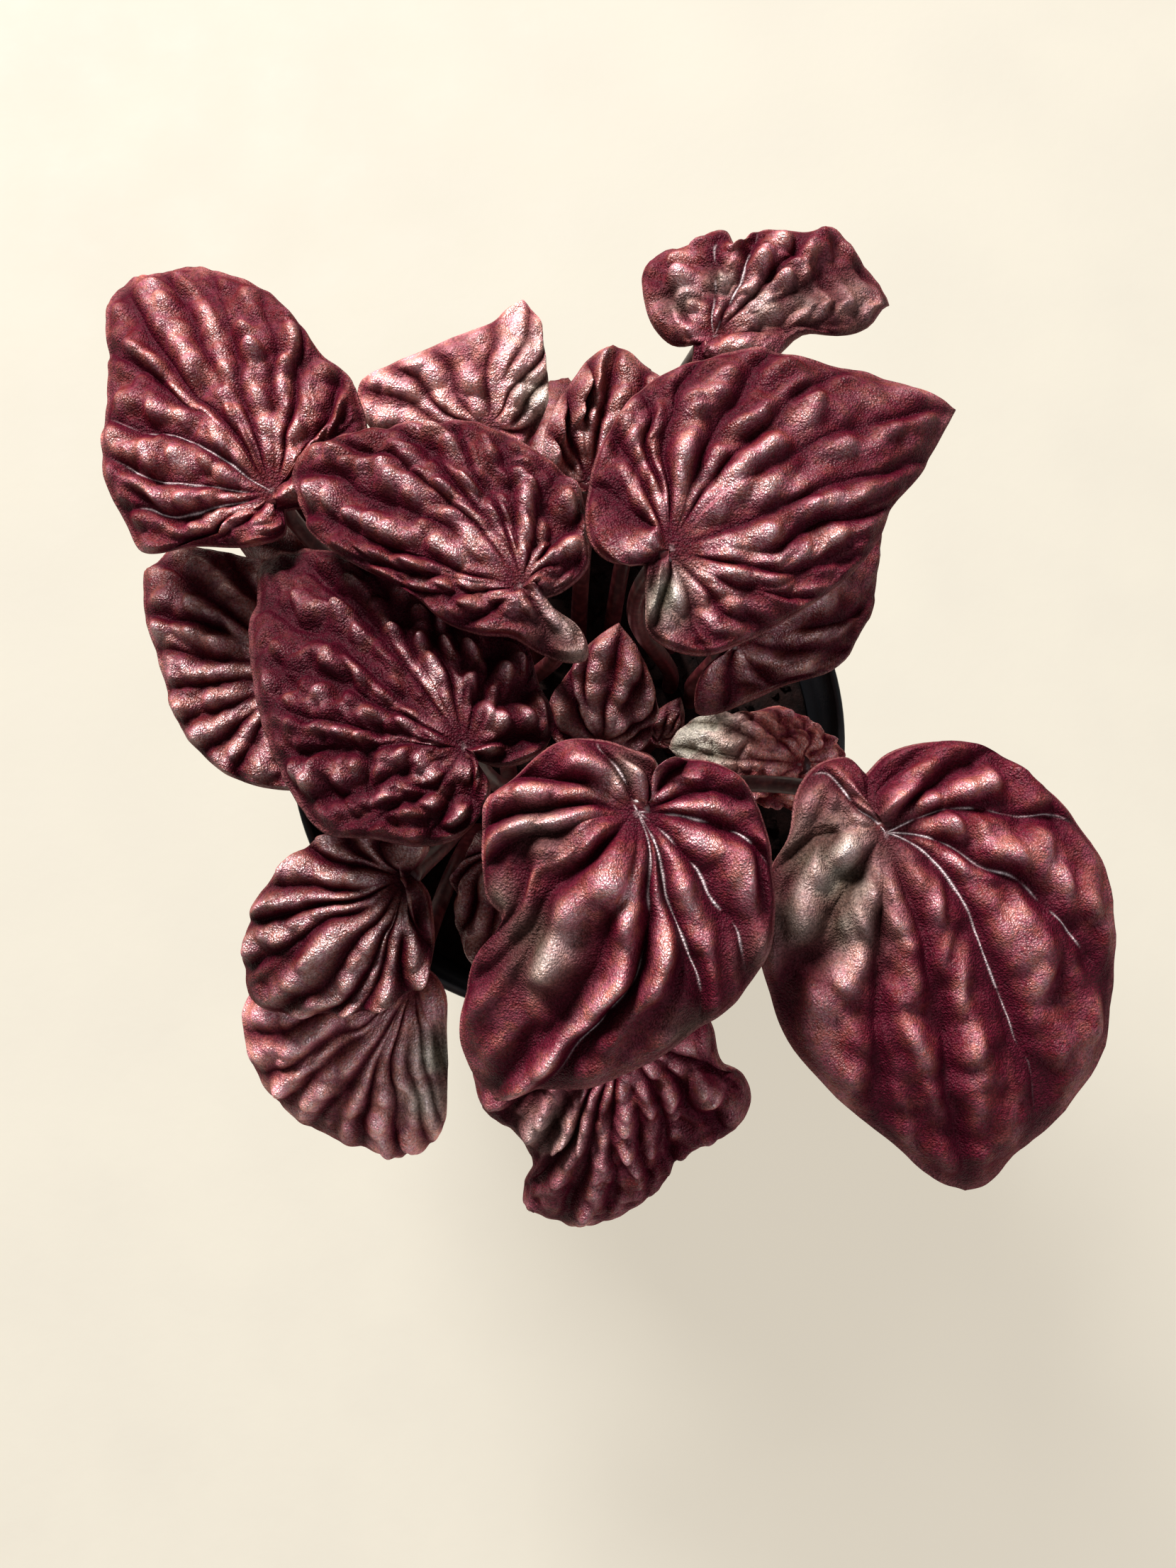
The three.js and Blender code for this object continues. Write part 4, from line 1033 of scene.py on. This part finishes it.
def floor_look():
    """A plain cream floor, lifted by a little glow of its own."""
    look = Nodes("floor_cream")
    cloud = look.fit(look.noise(30, 4), 0.35, 0.65)
    look.set(Base_Color=look.mix(cloud, (0.165, 0.163, 0.145), (0.185, 0.183, 0.16)))
    look.set(Roughness=look.fit(look.noise(60, 3), 0.3, 0.7, 0.7, 0.85))
    look.bump(look.noise(260, 4), 0.1, 0.0006)
    look.set(Emission_Color=(0.9, 0.81, 0.665), Emission_Strength=0.68)
    return look.material


def lathe_mesh(profile, segments):
    """A closed body turned from (radius, height) pairs that start and end on the axis."""
    inner = np.array(profile[1:-1], float)
    angle = 2 * math.pi * np.arange(segments) / segments
    rings = [np.stack([r * np.cos(angle), r * np.sin(angle), np.full(segments, z)], 1) for r, z in inner]
    vertices = np.concatenate(rings + [[[0, 0, profile[0][1]]], [[0, 0, profile[-1][1]]]])
    return vertices, tube_faces(len(inner), segments)


def rounded(profile, radius):
    """Rounds the corners of a profile, apart from its two ends."""
    points = [np.array(point, float) for point in profile]
    result = [points[0]]
    for before, corner, after in zip(points, points[1:], points[2:]):
        reach = min(radius, 0.45 * np.linalg.norm(before - corner), 0.45 * np.linalg.norm(after - corner))
        start = corner + unit(before - corner) * reach
        end = corner + unit(after - corner) * reach
        for t in np.linspace(0, 1, 4):
            result.append((1 - t) ** 2 * start + 2 * t * (1 - t) * corner + t * t * end)
    return result + [points[-1]]


def pot_profile():
    """The pot's section, from the middle of its underside over the lip to the middle of its floor."""
    shoulder = RIM_RADIUS - BAND_STEP
    band_bottom = POT_HEIGHT - BAND_HEIGHT
    band_inside = RIM_RADIUS - BAND_WALL
    return rounded([
        (0, 0), (FOOT_RADIUS, 0), (shoulder, band_bottom - BAND_SLOPE), (RIM_RADIUS, band_bottom),
        (RIM_RADIUS, POT_HEIGHT), (band_inside, POT_HEIGHT), (band_inside, band_bottom + BAND_WALL),
        (shoulder - POT_WALL, band_bottom), (FOOT_RADIUS - POT_WALL, POT_FLOOR), (0, POT_FLOOR),
    ], POT_ROUNDING)


def drain_drill():
    """One object with a cylinder for each drain hole."""
    cutters = bmesh.new()
    for index in range(DRAIN_COUNT):
        angle = 2 * math.pi * (index + 0.5) / DRAIN_COUNT
        centre = Vector((math.cos(angle), math.sin(angle), 0)) * DRAIN_RING * MM
        bmesh.ops.create_cone(
            cutters, cap_ends=True, segments=DRAIN_SEGMENTS, radius1=DRAIN_RADIUS * MM,
            radius2=DRAIN_RADIUS * MM, depth=4 * POT_FLOOR * MM, matrix=Matrix.Translation(centre))
    mesh = bpy.data.meshes.new("drill")
    cutters.to_mesh(mesh)
    cutters.free()
    return add_object("drill", mesh)


def make_pot(look):
    """The pot with its drain holes cut out."""
    vertices, faces = lathe_mesh(pot_profile(), POT_SEGMENTS)
    pot = new_piece("pot_fine", vertices, faces, [look])
    drill = drain_drill()
    cut = pot.modifiers.new("drain", "BOOLEAN")
    cut.operation = "DIFFERENCE"
    cut.solver = "EXACT"
    cut.object = drill
    apply_modifiers(pot)
    bpy.data.objects.remove(drill)
    pot.data.set_sharp_from_angle(angle=math.radians(SHARP_ANGLE))
    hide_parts("pot")


def apply_modifiers(piece):
    graph = bpy.context.evaluated_depsgraph_get()
    finished = bpy.data.meshes.new_from_object(piece.evaluated_get(graph))
    piece.modifiers.clear()
    piece.data = finished


def soil_edge_radius(height):
    """Radius of the soil at a height, a little inside the pot's tapered wall."""
    band_bottom = POT_HEIGHT - BAND_HEIGHT
    top = RIM_RADIUS - BAND_STEP - POT_WALL
    foot = FOOT_RADIUS - POT_WALL
    wall = foot + (top - foot) * (height - POT_FLOOR) / (band_bottom - POT_FLOOR)
    return wall - CLEARANCE - SOIL_INSET


def soil_height(x, y, edge):
    """Height of the soil's uneven, slightly mounded top."""
    radius = np.hypot(x, y) / edge
    mound = SOIL_TOP - SOIL_EDGE_DROP + (SOIL_MOUND + SOIL_EDGE_DROP) * (1 - radius ** 2)
    rough = layer(CLODS, 51, x, y) + np.abs(layer(CLOTS, 52, x, y)) + layer(CRUMBS, 53, x, y)
    return mound + rough * (1 - smooth_step(0.97, 1, radius)) - SOIL_SINK


def make_soil(look):
    """The plug of soil. Gives the radius of its top."""
    edge = soil_edge_radius(SOIL_TOP - SOIL_EDGE_DROP)
    bottom = POT_FLOOR + CLEARANCE
    profile = [(0, bottom), (soil_edge_radius(bottom), bottom)]
    profile += [(edge * ring / SOIL_RINGS, 0) for ring in range(SOIL_RINGS, -1, -1)]
    vertices, faces = lathe_mesh(profile, SOIL_SEGMENTS)
    top = vertices[:, 2] == 0
    vertices[top, 2] = soil_height(vertices[top, 0], vertices[top, 1], edge)
    soil = new_piece("soil_fine", vertices, faces, [look])
    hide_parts("soil")
    return edge


def scatter_grains(look, edge):
    """Angular grains, half sunk in the soil's surface, fused in one piece."""
    random = np.random.RandomState(GRAIN_SEED)
    shape, triangles = unit_ball()
    vertices, faces = [], []
    for index in range(GRAIN_COUNT):
        radius = (edge - GRAIN_FREE_EDGE) * math.sqrt(random.rand())
        angle = 2 * math.pi * random.rand()
        x, y = radius * math.cos(angle), radius * math.sin(angle)
        size = random.uniform(*GRAIN_SIZE)
        stretch = random.uniform(*GRAIN_STRETCH, 3) * size
        facets = np.sign(shape) * np.abs(shape) ** random.uniform(*GRAIN_SQUARENESS)
        wobble = 1 + GRAIN_WOBBLE * random.uniform(-1, 1, (len(shape), 1))
        turn = random.uniform(*GRAIN_TURN)
        turn = np.array(Matrix.Rotation(turn, 3, Vector(unit(random.uniform(-1, 1, 3)))))
        grain = (facets * wobble * stretch) @ turn.T
        grain += [x, y, float(soil_height(np.array(x), np.array(y), edge)) + GRAIN_RISE * size]
        faces += (triangles + index * len(shape)).tolist()
        vertices.append(grain)
    piece = new_piece("soil_crumbs", np.concatenate(vertices), faces, [look], smooth=False)


def unit_ball():
    """Corners and triangles of a ball with a radius of one."""
    ball = bmesh.new()
    bmesh.ops.create_icosphere(ball, subdivisions=2, radius=1)
    corners = np.array([vertex.co[:] for vertex in ball.verts])
    triangles = np.array([[vertex.index for vertex in face.verts] for face in ball.faces])
    ball.free()
    return corners, triangles


def make_floor(look):
    corners = [(x * FLOOR_HALF, y * FLOOR_HALF, 0) for x, y in ((-1, -1), (1, -1), (1, 1), (-1, 1))]
    mesh = bpy.data.meshes.new("floor")
    mesh.from_pydata((np.array(corners, float) * MM).tolist(), [], [(0, 1, 2, 3)])
    mesh.materials.append(look)
    floor = add_object("floor", mesh)
    floor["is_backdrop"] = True


def add_camera():
    tilt = math.radians(CAMERA_TILT)
    toward = Vector((0, -math.sin(tilt), math.cos(tilt)))
    data = bpy.data.cameras.new("camera")
    data.lens = CAMERA_LENS
    data.sensor_width = CAMERA_SENSOR
    camera = add_object("camera", data)
    camera.location = Vector(CAMERA_TARGET) * MM + toward * CAMERA_DISTANCE * MM
    camera.rotation_euler = (tilt, 0, 0)
    bpy.context.scene.camera = camera


def add_light(name, place, size, power, colour):
    data = bpy.data.lights.new(name, "AREA")
    data.shape = "DISK"
    data.size = size
    data.energy = power
    data.color = colour
    light = add_object(name, data)
    light.location = place
    aim = Vector(LIGHT_TARGET) - Vector(place)
    light.rotation_euler = aim.to_track_quat("-Z", "Y").to_euler()


def light_scene():
    bpy.context.scene.view_settings.view_transform = "Standard"
    for light in LIGHTS:
        add_light(*light)
    world = bpy.data.worlds.new("studio")
    world.use_nodes = True
    world.node_tree.nodes["Background"].inputs["Color"].default_value = WORLD_COLOUR
    world.node_tree.nodes["Background"].inputs["Strength"].default_value = WORLD_STRENGTH
    bpy.context.scene.world = world


def write_sizes():
    boxes = {"cad": CAD_BOX, "visual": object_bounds()}
    plain = {name: [[float(x) for x in corner] for corner in box] for name, box in boxes.items()}


def main():
    add_camera()
    leaf_looks = [leaf_top_look(), leaf_under_look(), stalk_look()]
    for seed, row in enumerate(LEAVES, 1):
        make_leaf(place_leaf(row, seed), leaf_looks)
    make_pot(pot_look())
    soil = soil_look()
    edge = make_soil(soil)
    scatter_grains(soil, edge)
    make_floor(floor_look())
    light_scene()
    write_sizes()


main()
